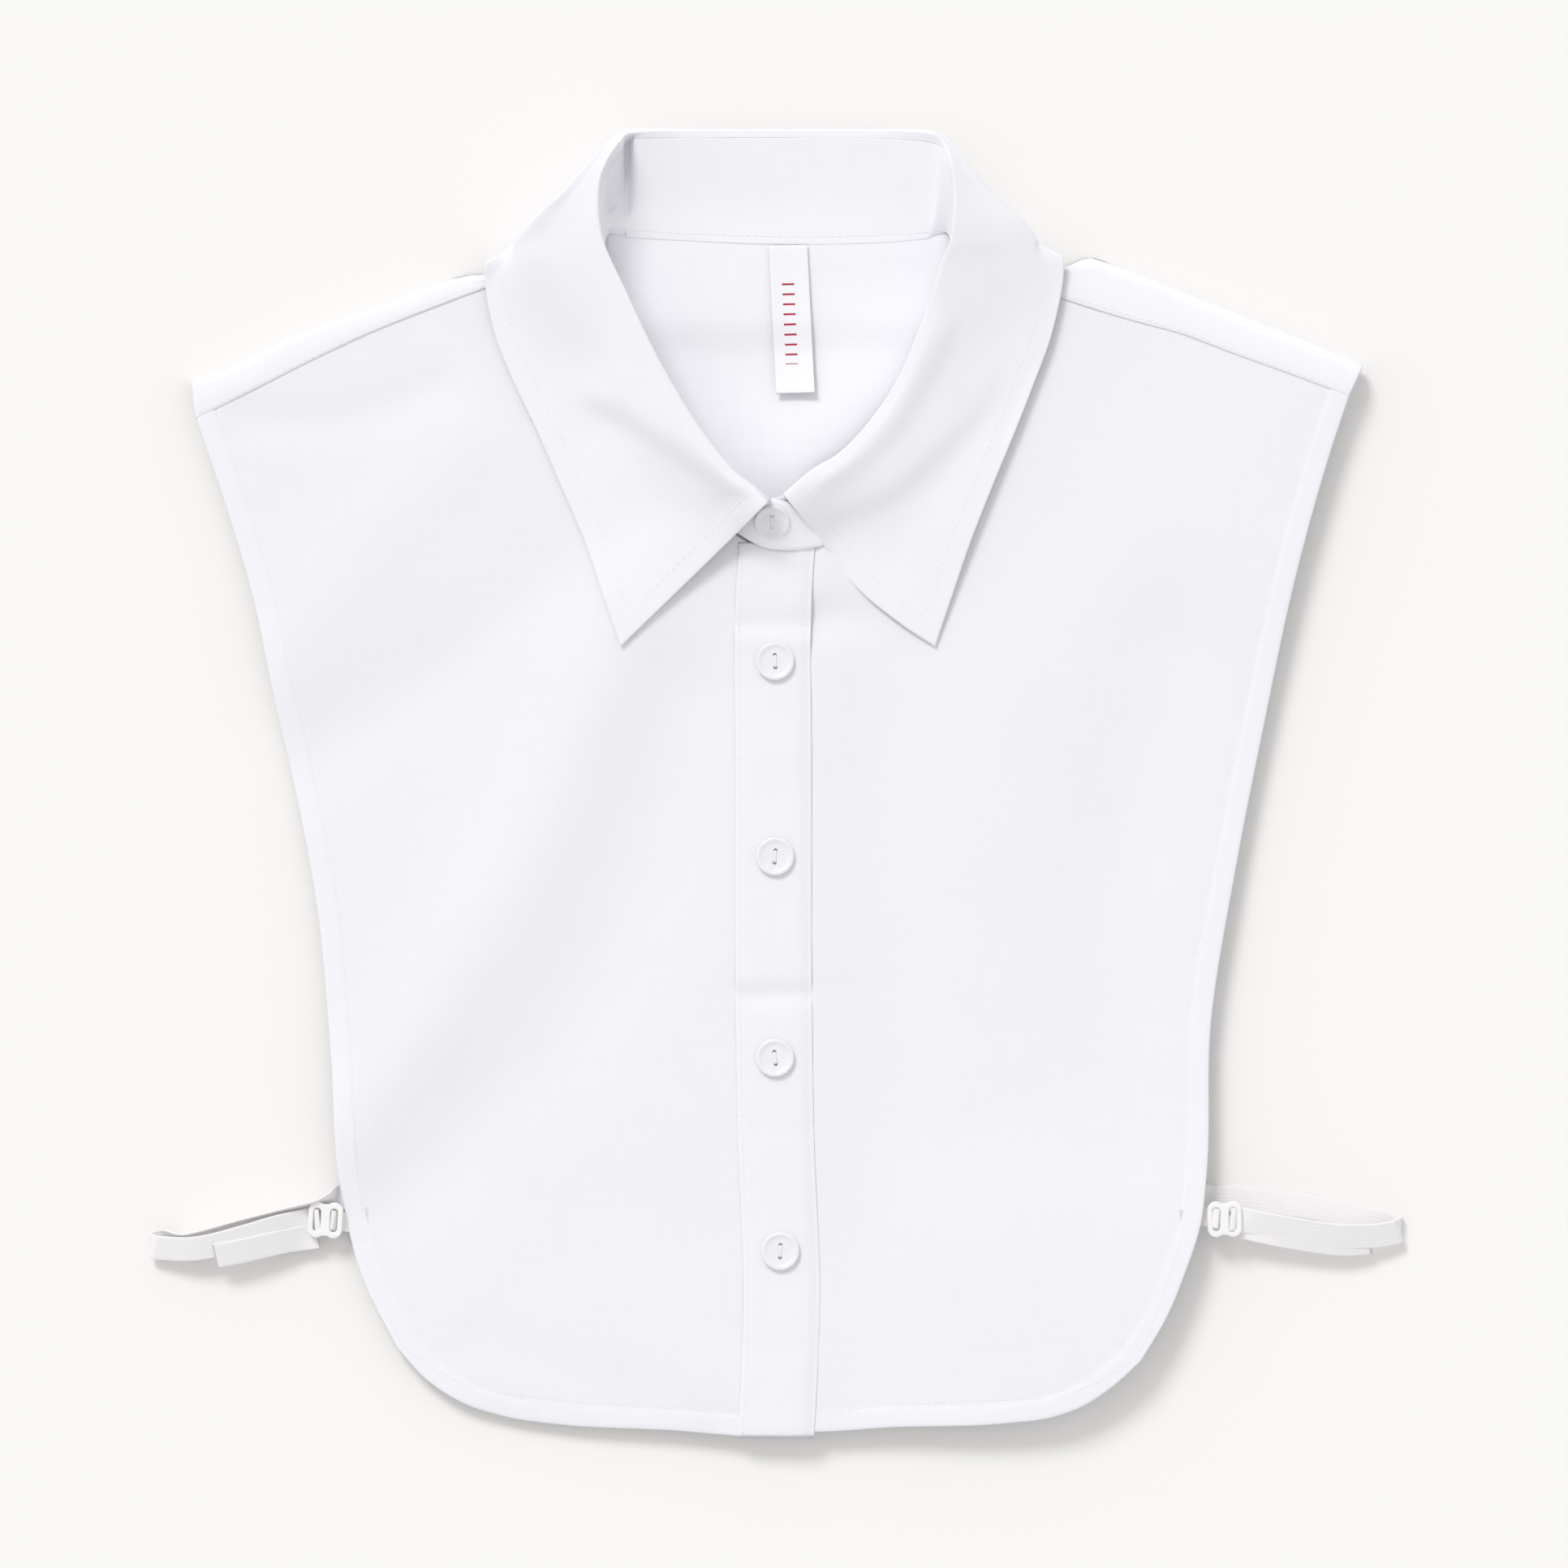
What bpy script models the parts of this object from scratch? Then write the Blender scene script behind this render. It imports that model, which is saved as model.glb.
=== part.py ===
"""Detachable shirt collar: a sleeveless half shirt, buttoned up and laid flat on its back.

All sizes are millimetres until a mesh is made. X runs from one armhole to the other, Y from the hem to
the collar, and Z up from the surface it lies on, with the origin on that surface.
Every cloth piece is an open sheet with its wall behind its outer face, and a 0.3 mm gap at its seams.
"""

import math

import bmesh
import bpy
import numpy as np
from mathutils import Euler, Vector

MM = 0.001
WALL = 1.0            # cloth, with its seam allowance and interlining
GAP = 0.3             # between two pieces that are sewn together or lie on each other
PLACKET_WIDTH = 23.5
ELASTIC_WIDTH = 8.0
BUTTON_RADIUS = 5.9
BUTTON_HEIGHT = 2.2
SLIDER_SIZE = (10.4, 11.1, 1.8)

for old in list(bpy.data.objects):
    bpy.data.objects.remove(old)
GARMENT = bpy.data.collections.new("detachable_shirt_collar")
CUTTERS = bpy.data.collections.new("cutters")
for group in (GARMENT, CUTTERS):
    bpy.context.scene.collection.children.link(group)


# ------------------------------------------------------------------ curves, patches and sheets

def curve_through(points, count=None, at=None, per_gap=None):
    """A smooth curve through the points, as count points at equal steps, as points at the shares of its
    length in at, or with per_gap steps from each given point to the next."""
    points = np.asarray(points, float)
    strides = np.linalg.norm(np.diff(points, axis=0), axis=1)
    knots = np.concatenate(([0.0], np.cumsum(strides)))
    slopes = np.gradient(points, knots, axis=0)

    def hermite(where):
        i = np.clip(np.searchsorted(knots, where, side="right") - 1, 0, len(knots) - 2)
        span = knots[i + 1] - knots[i]
        t = (where - knots[i]) / span
        t, span = t[:, None], span[:, None]
        return (
            (2 * t**3 - 3 * t**2 + 1) * points[i] + (t**3 - 2 * t**2 + t) * span * slopes[i]
            + (3 * t**2 - 2 * t**3) * points[i + 1] + (t**3 - t**2) * span * slopes[i + 1]
        )

    if per_gap:
        steps = np.linspace(0, len(points) - 1, (len(points) - 1) * per_gap + 1)
        return hermite(np.interp(steps, np.arange(len(points)), knots))
    fine = np.linspace(0, knots[-1], 40 * len(points))
    run = hermite(fine)
    length = np.concatenate(([0.0], np.cumsum(np.linalg.norm(np.diff(run, axis=0), axis=1))))
    at = np.linspace(0, 1, count) if at is None else np.asarray(at, float)
    return hermite(np.interp(at * length[-1], length, fine))


def join(*runs):
    """Curves end to end, each next one without its first point."""
    return np.concatenate([runs[0]] + [run[1:] for run in runs[1:]])


def patch(bottom, top, left, right, row_places=None):
    """Fills four boundary curves: rows from bottom to top, columns from left to right."""
    u = np.linspace(0, 1, len(bottom))[None, :, None]
    v = np.linspace(0, 1, len(left)) if row_places is None else np.array(row_places)
    v = v[:, None, None]
    across = (1 - v) * bottom[None] + v * top[None]
    along = (1 - u) * left[:, None] + u * right[:, None]
    corners = (
        (1 - u) * (1 - v) * bottom[0] + u * (1 - v) * bottom[-1]
        + (1 - u) * v * top[0] + u * v * top[-1]
    )
    return across + along - corners


def material(name, colour, roughness):
    made = bpy.data.materials.new(name)
    made.use_nodes = True
    shader = made.node_tree.nodes["Principled BSDF"]
    shader.inputs["Base Color"].default_value = (*colour, 1.0)
    shader.inputs["Roughness"].default_value = roughness
    return made


def add_object(name, mesh, finish):
    piece = bpy.data.objects.new(name, mesh)
    piece.data.materials.append(finish)
    GARMENT.objects.link(piece)
    return piece


def sheet(name, grid, finish, wall=WALL, outer_below=False, left_out=()):
    """A cloth piece: quads through a grid of points on its outer face, with its wall behind them."""
    rows, columns = grid.shape[:2]
    mesh = bpy.data.meshes.new(name)
    build = bmesh.new()
    verts = [[build.verts.new(Vector(point) * MM) for point in row] for row in grid]
    for r in range(rows - 1):
        for c in range(columns - 1):
            if (r, c) in left_out:
                continue
            corner = (verts[r][c], verts[r][c + 1], verts[r + 1][c + 1], verts[r + 1][c])
            build.faces.new(corner[::-1] if outer_below else corner)
    bmesh.ops.delete(build, geom=[v for v in build.verts if not v.link_faces], context="VERTS")
    build.to_mesh(mesh)
    build.free()
    mesh.shade_smooth()
    piece = add_object(name, mesh, finish)
    solid = piece.modifiers.new("wall", "SOLIDIFY")
    solid.thickness = wall * MM
    solid.offset = -1.0
    return piece


# ------------------------------------------------------------------ outlines, seen from above

# Each armhole runs up from the hem's corner to the shoulder seam.
ARMHOLE_LEFT = (
    (-116.8, -173.5), (-127, -153), (-134, -124.8), (-137, -83.5), (-141.5, -36), (-148.8, 1.8),
    (-154.3, 26), (-160.8, 56.8), (-170, 87.8), (-178.8, 113.5),
)
ARMHOLE_RIGHT = (
    (112.5, -177.5), (120.5, -164), (126.3, -150), (131, -135.5), (132.8, -121), (134.3, -73.5),
    (141.5, -28.5), (150.3, 16.5), (161, 66.5), (171.5, 103.8), (177, 120.2),
)
# The shoulder fold and the seam in front of it, each from the armhole to the neck.
FOLD_LEFT = (
    (-180, 124.5), (-171.8, 127), (-146.5, 139), (-119.5, 148.5), (-97.5, 156.2), (-87, 157.0),
    (-71, 163.8), (-54.6, 171.3),
)
FOLD_RIGHT = (
    (181.3, 129.3), (171, 133.8), (149, 142.5), (129, 150.5), (106.3, 159.4), (96, 162.0),
    (87.5, 158.6), (73, 163.5), (57.6, 172),
)
SEAM_LEFT = (
    (-178.8, 113.5), (-162, 121.8), (-144.3, 130.8), (-126.3, 139.3), (-108.5, 146.5), (-89.8, 153.5),
    (-54.4, 166.6),
)
SEAM_RIGHT = (
    (177, 120.2), (160.3, 126.5), (141, 133.5), (125, 139.5), (111.3, 143.2), (88, 150.5), (57, 163.2),
)
HEM_LEFT = (
    (-116.8, -173.5), (-108, -183.3), (-95, -191.5), (-83, -195.3), (-67.8, -197.5), (-30, -199.5),
    (-13.8, -200.8), (12, -201.5),
)
HEM_RIGHT = (
    (-11.5, -199), (17.3, -199.5), (34, -198.3), (71, -196.8), (84.8, -195), (94, -191.8),
    (103.3, -185.8), (112.5, -177.5),
)
# The upper front's edge at the closing, from the hem to the stand. It bows in at the chest.
CLOSING_EDGE = (
    (12, -201.5), (13, -183.5), (13.8, -158.5), (12, -108.5), (11.3, -58.5), (11.2, 16.5),
    (11, 44.8), (11.5, 61.5), (12.2, 72.2),
)
NECKLINE_LEFT = (
    (-54.4, 166.6), (-54.2, 160), (-53, 150), (-49.4, 135.5), (-42, 116.4), (-32.6, 99.4),
    (-22.2, 85.8), (-12.4, 76.9), (-5.7, 73.3), (-1, 72.2), (12.2, 72.2),
)
NECKLINE_RIGHT = (
    (57, 163.2), (56.1, 153), (53.7, 142), (48.9, 129), (41.6, 114), (31.8, 99.8), (21.5, 87.2),
    (12.4, 77.8), (4, 72.9), (-4, 72.0), (-11.5, 72.4),
)
# The back is cut a little smaller, so the fronts hide it except where it comes over the shoulders.
BACK_ARMHOLE_LEFT = (
    (-113, -170), (-123.5, -150), (-130.5, -124), (-133.5, -83), (-138, -36), (-145.5, 2),
    (-151, 26), (-157.5, 56.8), (-167.2, 87.5), (-176.8, 111), (-180, 124.5),
)
BACK_ARMHOLE_RIGHT = (
    (109.5, -173.5), (117, -162), (122.5, -149), (127.5, -135), (129.3, -121), (131, -73.5),
    (138, -28.5), (147, 16.5), (158, 66.5), (168.8, 103.8), (177.8, 121), (181.3, 129.3),
)
BACK_HEM = (
    (-113, -170), (-104, -179.5), (-92, -187), (-67, -193), (0, -195.5), (67, -192.5), (84, -190.5),
    (100, -182.5), (109.5, -173.5),
)
BACK_NECKLINE = (
    (-53.6, 170.6), (-50.2, 170.7), (-46.9, 169.7), (-43.8, 168.2), (-22, 166.6), (4, 165.7),
    (30, 166.2), (45.6, 167.3), (49, 168.8), (52.6, 170.5), (56.6, 171.6),
)

# ------------------------------------------------------------------ heights of the cloth

# The outer face's height where it is known: x, y, height. Between them it eases from one to the next.
HEIGHTS_LEFT = (
    (-178, 118, 5.2), (-120, 140, 5.4), (-60, 160, 6.2), (-50, 110, 7.2), (-165, 70, 4.8),
    (-150, 5, 4.6), (-138, -100, 4.6), (-112, -178, 4.8), (-60, -195, 6.6), (-70, -60, 7.0),
    (-10, -198, 8.4), (-5, -60, 8.5), (-5, 70, 8.5),
)
HEIGHTS_RIGHT = (
    (178, 124, 9.4), (120, 145, 8.4), (60, 158, 7.0), (45, 110, 6.6), (168, 80, 9.6),
    (150, 5, 9.2), (136, -90, 9.0), (120, -165, 12.4), (70, -196, 10.4), (65, -60, 7.2),
    (5, -198, 6.2), (0, -60, 6.0), (0, 70, 6.0),
)
HEIGHT_REACH = 34.0

# Folds of the fronts: a start, a middle and an end, half the fold's width, and its height.
FOLD_COLUMNS = ("x0", "y0", "x1", "y1", "x2", "y2", "width", "height")
FOLDS_LEFT = {
    "ridge_to_strap": (-44, 56, -84, -36, -131, -106, 17, 2.4),
    "trough_under_ridge": (-26, 26, -58, -66, -118, -128, 17, -1.3),
    "trough_from_collar": (-72, 62, -108, 32, -146, 8, 15, -1.4),
    "ridge_over_armhole": (-96, 104, -128, 72, -158, 32, 16, 1.3),
    "shoulder_pucker": (-162, 112, -134, 112, -104, 122, 7, -0.8),
    "hem_dip": (-92, -170, -72, -176, -48, -184, 9, -0.7),
    "chest_dip": (-7, 50.5, 0, 50, 7, 49.5, 5, -0.5),
    "waist_dip": (-7, -65.5, 0, -65, 7, -64.5, 5, -0.5),
}
FOLDS_RIGHT = {
    "side_trough": (118, 40, 106, -30, 108, -110, 18, -1.3),
    "chest_swell": (62, 30, 58, -20, 60, -80, 24, 0.9),
}


def eased_height(x, y, known):
    total = np.zeros_like(x)
    weights = np.zeros_like(x)
    for at_x, at_y, height in known:
        weight = np.exp(-((x - at_x) ** 2 + (y - at_y) ** 2) / (2 * HEIGHT_REACH**2)) + 1e-9
        total += weight * height
        weights += weight
    return total / weights


def fold_height(x, y, folds):
    total = np.zeros_like(x)
    for row in folds.values():
        fold = dict(zip(FOLD_COLUMNS, row))
        ends = ((fold["x0"], fold["y0"]), (fold["x1"], fold["y1"]), (fold["x2"], fold["y2"]))
        route = curve_through(ends, count=25)
        away = np.min(np.hypot(x[..., None] - route[:, 0], y[..., None] - route[:, 1]), axis=-1)
        total += fold["height"] * np.exp(-((away / fold["width"]) ** 2))
    return total


def front_height(plan, side):
    """The outer face of a front above the surface, at points seen from above."""
    x, y = plan[..., 0], plan[..., 1]
    if side == "left":
        return eased_height(x, y, HEIGHTS_LEFT) + fold_height(x, y, FOLDS_LEFT)
    return eased_height(x, y, HEIGHTS_RIGHT) + fold_height(x, y, FOLDS_RIGHT)


def on_front(plan, side, above=0.0):
    return np.concatenate((plan, (front_height(plan, side) + above)[..., None]), axis=-1)


LEAF_BED = 1.8        # the back is this much higher where the turned-down collar lies under it
LEAF_BED_BOX = (-104, 104, 132)


def ease(t):
    t = np.clip(t, 0, 1)
    return t * t * (3 - 2 * t)


def back_height(plan):
    """The underside of the back: on the surface, and over the collar's hidden part near the neck."""
    x, y = plan[..., 0], plan[..., 1]
    low_x, high_x, low_y = LEAF_BED_BOX
    edge = 12.0
    return LEAF_BED * ease((x - low_x) / edge) * ease((high_x - x) / edge) * ease((y - low_y) / edge)


# ------------------------------------------------------------------ the body of the garment

COTTON = material("white_poplin", (0.88, 0.87, 0.91), 0.85)
SHOULDER_COLUMNS = 10  # the same along both sides of a shoulder seam, so its gap stays even


def shoulder_strip(fold, seam, side, columns):
    """The back's outer face over one shoulder: under the fold, round it, and down to the seam."""
    fold = curve_through(fold, columns)
    seam = curve_through(seam, columns)
    inward = seam - fold
    inward /= np.linalg.norm(inward, axis=1)[:, None]
    low = back_height(fold)
    top = front_height(seam, side)
    radius = (top - low) / 2
    rows = []
    for turn in np.linspace(0, math.pi, 6):
        plan = fold + inward * (radius * (1 - math.sin(turn)))[:, None]
        rows.append(np.column_stack((plan, low + radius * (1 - math.cos(turn)))))
    end = seam - inward * (GAP + 0.05)
    middle = (rows[-1][:, :2] + end) / 2
    rows.append(np.column_stack((middle, top)))
    rows.append(np.column_stack((end, front_height(end, side))))
    return np.array(rows)


def make_back_panel():
    neck_columns = 11
    row_places = (0, 0.07, 0.16, 0.27, 0.38, 0.49, 0.6, 0.71, 0.81, 0.87, 0.905, 0.935, 0.965, 1)
    flat_rows = len(row_places)
    left = shoulder_strip(FOLD_LEFT, SEAM_LEFT, "left", SHOULDER_COLUMNS)
    right = shoulder_strip(FOLD_RIGHT, SEAM_RIGHT, "right", SHOULDER_COLUMNS)[:, ::-1]
    neck = curve_through(BACK_NECKLINE, neck_columns)
    neck[0], neck[-1] = left[0, -1, :2], right[0, 0, :2]
    top = join(left[0, :, :2], neck, right[0, :, :2])
    armhole_left = curve_through(BACK_ARMHOLE_LEFT, at=row_places)
    armhole_right = curve_through(BACK_ARMHOLE_RIGHT, at=row_places)
    armhole_left[-1], armhole_right[-1] = top[0], top[-1]
    plan = patch(curve_through(BACK_HEM, len(top)), top, armhole_left, armhole_right, row_places)
    flat = np.concatenate((plan, back_height(plan)[..., None]), axis=-1)
    # Over the shoulders the rows go on; between them the neck is open, so those faces are left out.
    hole = np.tile(flat[-1, SHOULDER_COLUMNS:-SHOULDER_COLUMNS], (len(left) - 1, 1, 1))
    over = np.concatenate((left[1:], hole, right[1:]), axis=1)
    grid = np.concatenate((flat, over))
    open_faces = {
        (r, c)
        for r in range(flat_rows - 1, len(grid) - 1)
        for c in range(SHOULDER_COLUMNS - 1, len(top) - SHOULDER_COLUMNS)
    }
    return sheet("back_panel", grid, COTTON, outer_below=True, left_out=open_faces)


def make_front_left():
    top = join(curve_through(SEAM_LEFT, SHOULDER_COLUMNS), curve_through(NECKLINE_LEFT, 13))
    rows = 26
    plan = patch(
        curve_through(HEM_LEFT, len(top)), top, curve_through(ARMHOLE_LEFT, rows),
        curve_through(CLOSING_EDGE, rows),
    )
    return sheet("front_left", on_front(plan, "left"), COTTON)


def make_front_right():
    top = join(curve_through(SEAM_RIGHT, SHOULDER_COLUMNS), curve_through(NECKLINE_RIGHT, 12))[::-1]
    rows = 24
    hidden_edge = ((-11.5, -199), (-11.5, -60), (-11.5, 72.9))
    plan = patch(
        curve_through(HEM_RIGHT, len(top)), top, curve_through(hidden_edge, rows),
        curve_through(ARMHOLE_RIGHT, rows),
    )
    return sheet("front_right", on_front(plan, "right"), COTTON)


def make_placket():
    edge = curve_through(CLOSING_EDGE, 34)
    across = np.linspace(-PLACKET_WIDTH, 0, 4)
    plan = np.stack([edge + (offset, 0) for offset in across], axis=1)
    return sheet("placket", on_front(plan, "left", above=GAP + WALL), COTTON)


# ------------------------------------------------------------------ the collar

# Stations round the neck, from the centre front over the left shoulder and the back to the centre
# front again. For each: the stand's foot on the neck seam and its top, on the face towards the neck.
STAND = {
    "end_upper_1": ((12.0, 73.0, 7.7), (11.2, 84.4, 11.4)),
    "end_upper_2": ((6.0, 72.9, 7.6), (5.4, 86.2, 12.6)),
    "left_0": ((-1.0, 73.1, 7.5), (-1.4, 87.8, 13.6)),
    "left_1": ((-5.5, 74.4, 7.5), (-5.4, 91.0, 14.6)),
    "left_2": ((-12.0, 78.0, 7.4), (-12.4, 96.6, 16.0)),
    "left_3": ((-21.5, 86.8, 7.0), (-21.6, 107.8, 17.2)),
    "left_4": ((-31.5, 100.2, 6.6), (-30.4, 121.0, 18.0)),
    "left_5": ((-40.6, 117.0, 6.0), (-38.8, 135.8, 18.4)),
    "left_6": ((-47.6, 136.0, 5.6), (-46.8, 152.4, 18.6)),
    "left_7": ((-51.0, 150.5, 5.4), (-52.2, 163.6, 18.6)),
    "left_8": ((-52.2, 160.5, 5.2), (-53.6, 171.2, 18.6)),
    "left_9": ((-52.4, 167.0, 4.8), (-53.5, 178.4, 18.4)),
    "left_10": ((-51.4, 171.2, 3.8), (-52.6, 184.2, 18.0)),
    "left_11": ((-49.0, 171.3, 3.2), (-50.4, 189.4, 17.2)),
    "left_12": ((-46.4, 170.5, 3.0), (-47.0, 194.2, 16.0)),
    "left_13": ((-43.6, 168.9, 2.8), (-43.4, 196.8, 15.0)),
    "back_left": ((-22.0, 167.4, 2.8), (-22.2, 197.4, 14.4)),
    "back_middle": ((4.0, 166.5, 2.8), (4.0, 197.6, 14.2)),
    "back_right": ((30.0, 167.0, 2.8), (30.4, 197.4, 14.4)),
    "right_13": ((45.5, 168.1, 2.8), (48.6, 196.2, 15.0)),
    "right_12": ((48.6, 169.5, 3.1), (51.8, 192.2, 16.2)),
    "right_11": ((51.4, 171.0, 3.6), (53.4, 187.0, 17.4)),
    "right_10": ((53.6, 171.8, 4.2), (54.4, 181.0, 18.2)),
    "right_9": ((54.8, 168.2, 5.4), (55.4, 173.2, 18.6)),
    "right_8": ((54.9, 162.0, 5.8), (55.4, 166.2, 18.8)),
    "right_7": ((54.0, 153.6, 6.0), (54.0, 159.6, 18.8)),
    "right_6": ((51.6, 142.5, 6.2), (50.8, 147.6, 18.6)),
    "right_5": ((47.0, 129.6, 6.2), (46.6, 134.8, 18.2)),
    "right_4": ((40.0, 115.0, 6.0), (40.6, 121.8, 17.6)),
    "right_3": ((30.8, 101.0, 5.8), (32.0, 109.6, 16.8)),
    "right_2": ((20.6, 88.4, 5.6), (22.8, 99.4, 15.6)),
    "right_1": ((11.6, 79.0, 5.4), (12.8, 93.8, 14.0)),
    "right_0": ((3.8, 74.6, 5.3), (3.2, 89.6, 12.3)),
    "end_lower_2": ((-3.0, 73.8, 4.9), (-3.6, 87.6, 10.6)),
    "end_lower_1": ((-9.0, 75.4, 4.4), (-8.5, 86.0, 8.8)),
}
# The leaf where it lies on a front: the roll, its free edge seen from above, how far that edge stands
# over the front, and how far the line between them bows sideways.
LEAF_ON_FRONT = {
    "left_0": ((-2.4, 86.0, 19.2), (-47.5, 42.3), 1.7, 0.0),
    "left_1": ((-6.5, 90.6, 19.8), (-53.0, 58.0), 1.7, 0.0),
    "left_2": ((-13.2, 96.2, 20.6), (-58.6, 74.5), 1.7, 0.0),
    "left_3": ((-21.9, 107.2, 21.4), (-66.5, 93.0), 1.7, 0.0),
    "left_4": ((-30.2, 120.2, 22.0), (-73.5, 109.0), 1.7, 0.0),
    "left_5": ((-38.4, 135.2, 22.4), (-80.0, 122.5), 1.9, 0.0),
    "left_6": ((-46.3, 152.2, 22.6), (-86.2, 138.0), 2.4, 0.0),
    "left_7": ((-51.6, 163.5, 22.6), (-89.2, 152.6), 3.0, 2.0),
    "right_7": ((53.9, 159.5, 22.6), (88.5, 153.6), 4.4, -2.0),
    "right_6": ((51.2, 147.0, 22.4), (84.9, 137.5), 5.0, 0.0),
    "right_5": ((47.0, 134.2, 22.2), (79.6, 123.0), 5.2, 0.0),
    "right_4": ((40.9, 121.0, 21.8), (73.9, 108.5), 5.2, 0.0),
    "right_3": ((32.2, 108.6, 21.2), (67.3, 92.5), 5.2, 0.0),
    "right_2": ((22.8, 98.3, 20.4), (60.4, 75.0), 5.0, 1.0),
    "right_1": ((13.2, 93.0, 19.6), (54.6, 58.0), 4.8, 2.5),
    "right_0": ((2.9, 87.8, 19.0), (49.3, 42.3), 4.6, 4.2),
}
# The leaf where it turns under the shoulders and the back: the roll, the outermost turn, its free edge.
LEAF_TURNED_UNDER = {
    "left_8": ((-53.6, 171.0, 22.6), (-75.5, 168.4, 11.5), (-88.8, 161.6, 2.2)),
    "left_9": ((-54.1, 178.5, 22.4), (-76.5, 171.9, 7.5), (-83.5, 157.5, 0.0)),
    "left_10": ((-53.6, 185.0, 22.0), (-66.5, 180.4, 6.0), (-72.0, 152.5, 0.0)),
    "left_11": ((-51.5, 191.0, 21.0), (-57.6, 190.2, 6.5), (-60.0, 153.0, 0.0)),
    "left_12": ((-47.5, 197.0, 19.4), (-50.4, 198.2, 7.0), (-49.0, 155.0, 0.0)),
    "left_13": ((-43.0, 199.6, 18.2), (-43.2, 201.5, 7.5), (-40.0, 157.0, 0.0)),
    "back_left": ((-22.0, 199.8, 17.6), (-22.0, 201.6, 7.5), (-21.0, 158.2, 0.0)),
    "back_middle": ((4.0, 199.9, 17.4), (4.0, 201.6, 7.5), (4.0, 158.6, 0.0)),
    "back_right": ((30.0, 199.8, 17.6), (30.0, 201.6, 7.5), (29.0, 158.2, 0.0)),
    "right_13": ((48.0, 199.0, 18.2), (48.6, 201.0, 7.5), (46.0, 157.0, 0.0)),
    "right_12": ((52.8, 195.0, 19.6), (55.8, 195.2, 7.0), (54.0, 155.0, 0.0)),
    "right_11": ((54.2, 189.0, 21.0), (61.2, 188.0, 6.5), (62.0, 153.0, 0.0)),
    "right_10": ((54.9, 182.0, 22.0), (68.2, 180.0, 6.0), (72.0, 152.5, 0.0)),
    "right_9": ((55.6, 173.5, 22.4), (78.2, 171.4, 7.5), (83.0, 157.0, 0.0)),
    "right_8": ((55.6, 166.0, 22.6), (77.0, 167.6, 11.5), (88.4, 163.6, 2.2)),
}


def loft(sections, per_station):
    """Passes a smooth curve through each row of points: sections are (station, point along it)."""
    sections = np.array(sections)
    count = (len(sections) - 1) * per_station + 1
    at = np.linspace(0, len(sections) - 1, count)
    low = np.clip(at.astype(int), 0, len(sections) - 2)
    t = (at - low)[:, None, None]
    slopes = np.gradient(sections, axis=0)
    return (
        (2 * t**3 - 3 * t**2 + 1) * sections[low] + (t**3 - 2 * t**2 + t) * slopes[low]
        + (3 * t**2 - 2 * t**3) * sections[low + 1] + (t**3 - t**2) * slopes[low + 1]
    )


def make_collar_stand():
    heights = np.linspace(0, 1, 5)
    sections = [
        [Vector(foot).lerp(Vector(top), share) for share in heights] for foot, top in STAND.values()
    ]
    grid = loft(sections, per_station=2).transpose(1, 0, 2)
    return sheet("collar_stand", grid, COTTON)


def leaf_section(station):
    """From the seam on the stand, over the roll, to the free edge."""
    top = Vector(STAND[station][1])
    if station in LEAF_ON_FRONT:
        roll, edge, over_front, bow = LEAF_ON_FRONT[station]
        roll = Vector(roll)
        side = station.split("_")[0]
        edge = Vector(on_front(np.array(edge), side, above=over_front))
        out = edge - roll
        sideways = Vector((-out.y, out.x, 0)).normalized() * -bow
        turn = roll.lerp(edge, 0.5) + sideways
        turn.z = edge.z + 0.42 * (roll.z - edge.z)
        under = roll.lerp(edge, 0.78) + sideways * 0.6
        under.z = edge.z + 0.13 * (roll.z - edge.z)
    else:
        roll, turn, edge = (Vector(point) for point in LEAF_TURNED_UNDER[station])
        under = turn.lerp(edge, 0.16)
        under.z = edge.z + 0.1 * (turn.z - edge.z)
    rise = (roll - top).normalized()
    bend = rise.angle(top - Vector(STAND[station][0]))
    seam = top + rise * (GAP + 0.1 + WALL * math.sin(bend))
    crown = roll.lerp(turn, 0.14)
    crown.z = roll.z - 0.06 * (roll.z - turn.z)
    chest = roll.lerp(turn, 0.55)
    chest.z = turn.z + 0.55 * (roll.z - turn.z)
    return curve_through((seam, roll, crown, chest, turn, under, edge), per_gap=2)


def make_collar_leaf():
    stations = [name for name in STAND if not name.startswith("end")]
    grid = loft([leaf_section(name) for name in stations], per_station=2).transpose(1, 0, 2)
    grid[..., 2] = np.maximum(grid[..., 2], 0.0)
    return sheet("collar_leaf", grid, COTTON)


# ------------------------------------------------------------------ label, buttons and elastics

def make_label():
    top_left, bottom_left, width = (-2.0, 165.0), (0.2, 121.0), 12.0
    heights = (3.9, 3.9, 3.9, 3.9, 4.0, 4.4, 5.2)
    rows = []
    for share, height in zip(np.linspace(1, 0, len(heights)), heights[::-1]):
        start = Vector(top_left).lerp(Vector(bottom_left), share)
        rows.append([(start.x + width * across, start.y, height) for across in (0, 0.5, 1)])
    return sheet("label", np.array(rows), material("woven_tape", (0.9, 0.9, 0.92), 0.6))


BUTTONS = {
    "button_1": (0.0, 37.8),
    "button_2": (0.0, -22.3),
    "button_3": (0.0, -84.3),
    "button_4": (1.6, -143.8),
}
COLLAR_BUTTON = (-0.9, 80.9)
PEARL = material("button_resin", (0.87, 0.87, 0.9), 0.2)


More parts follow.
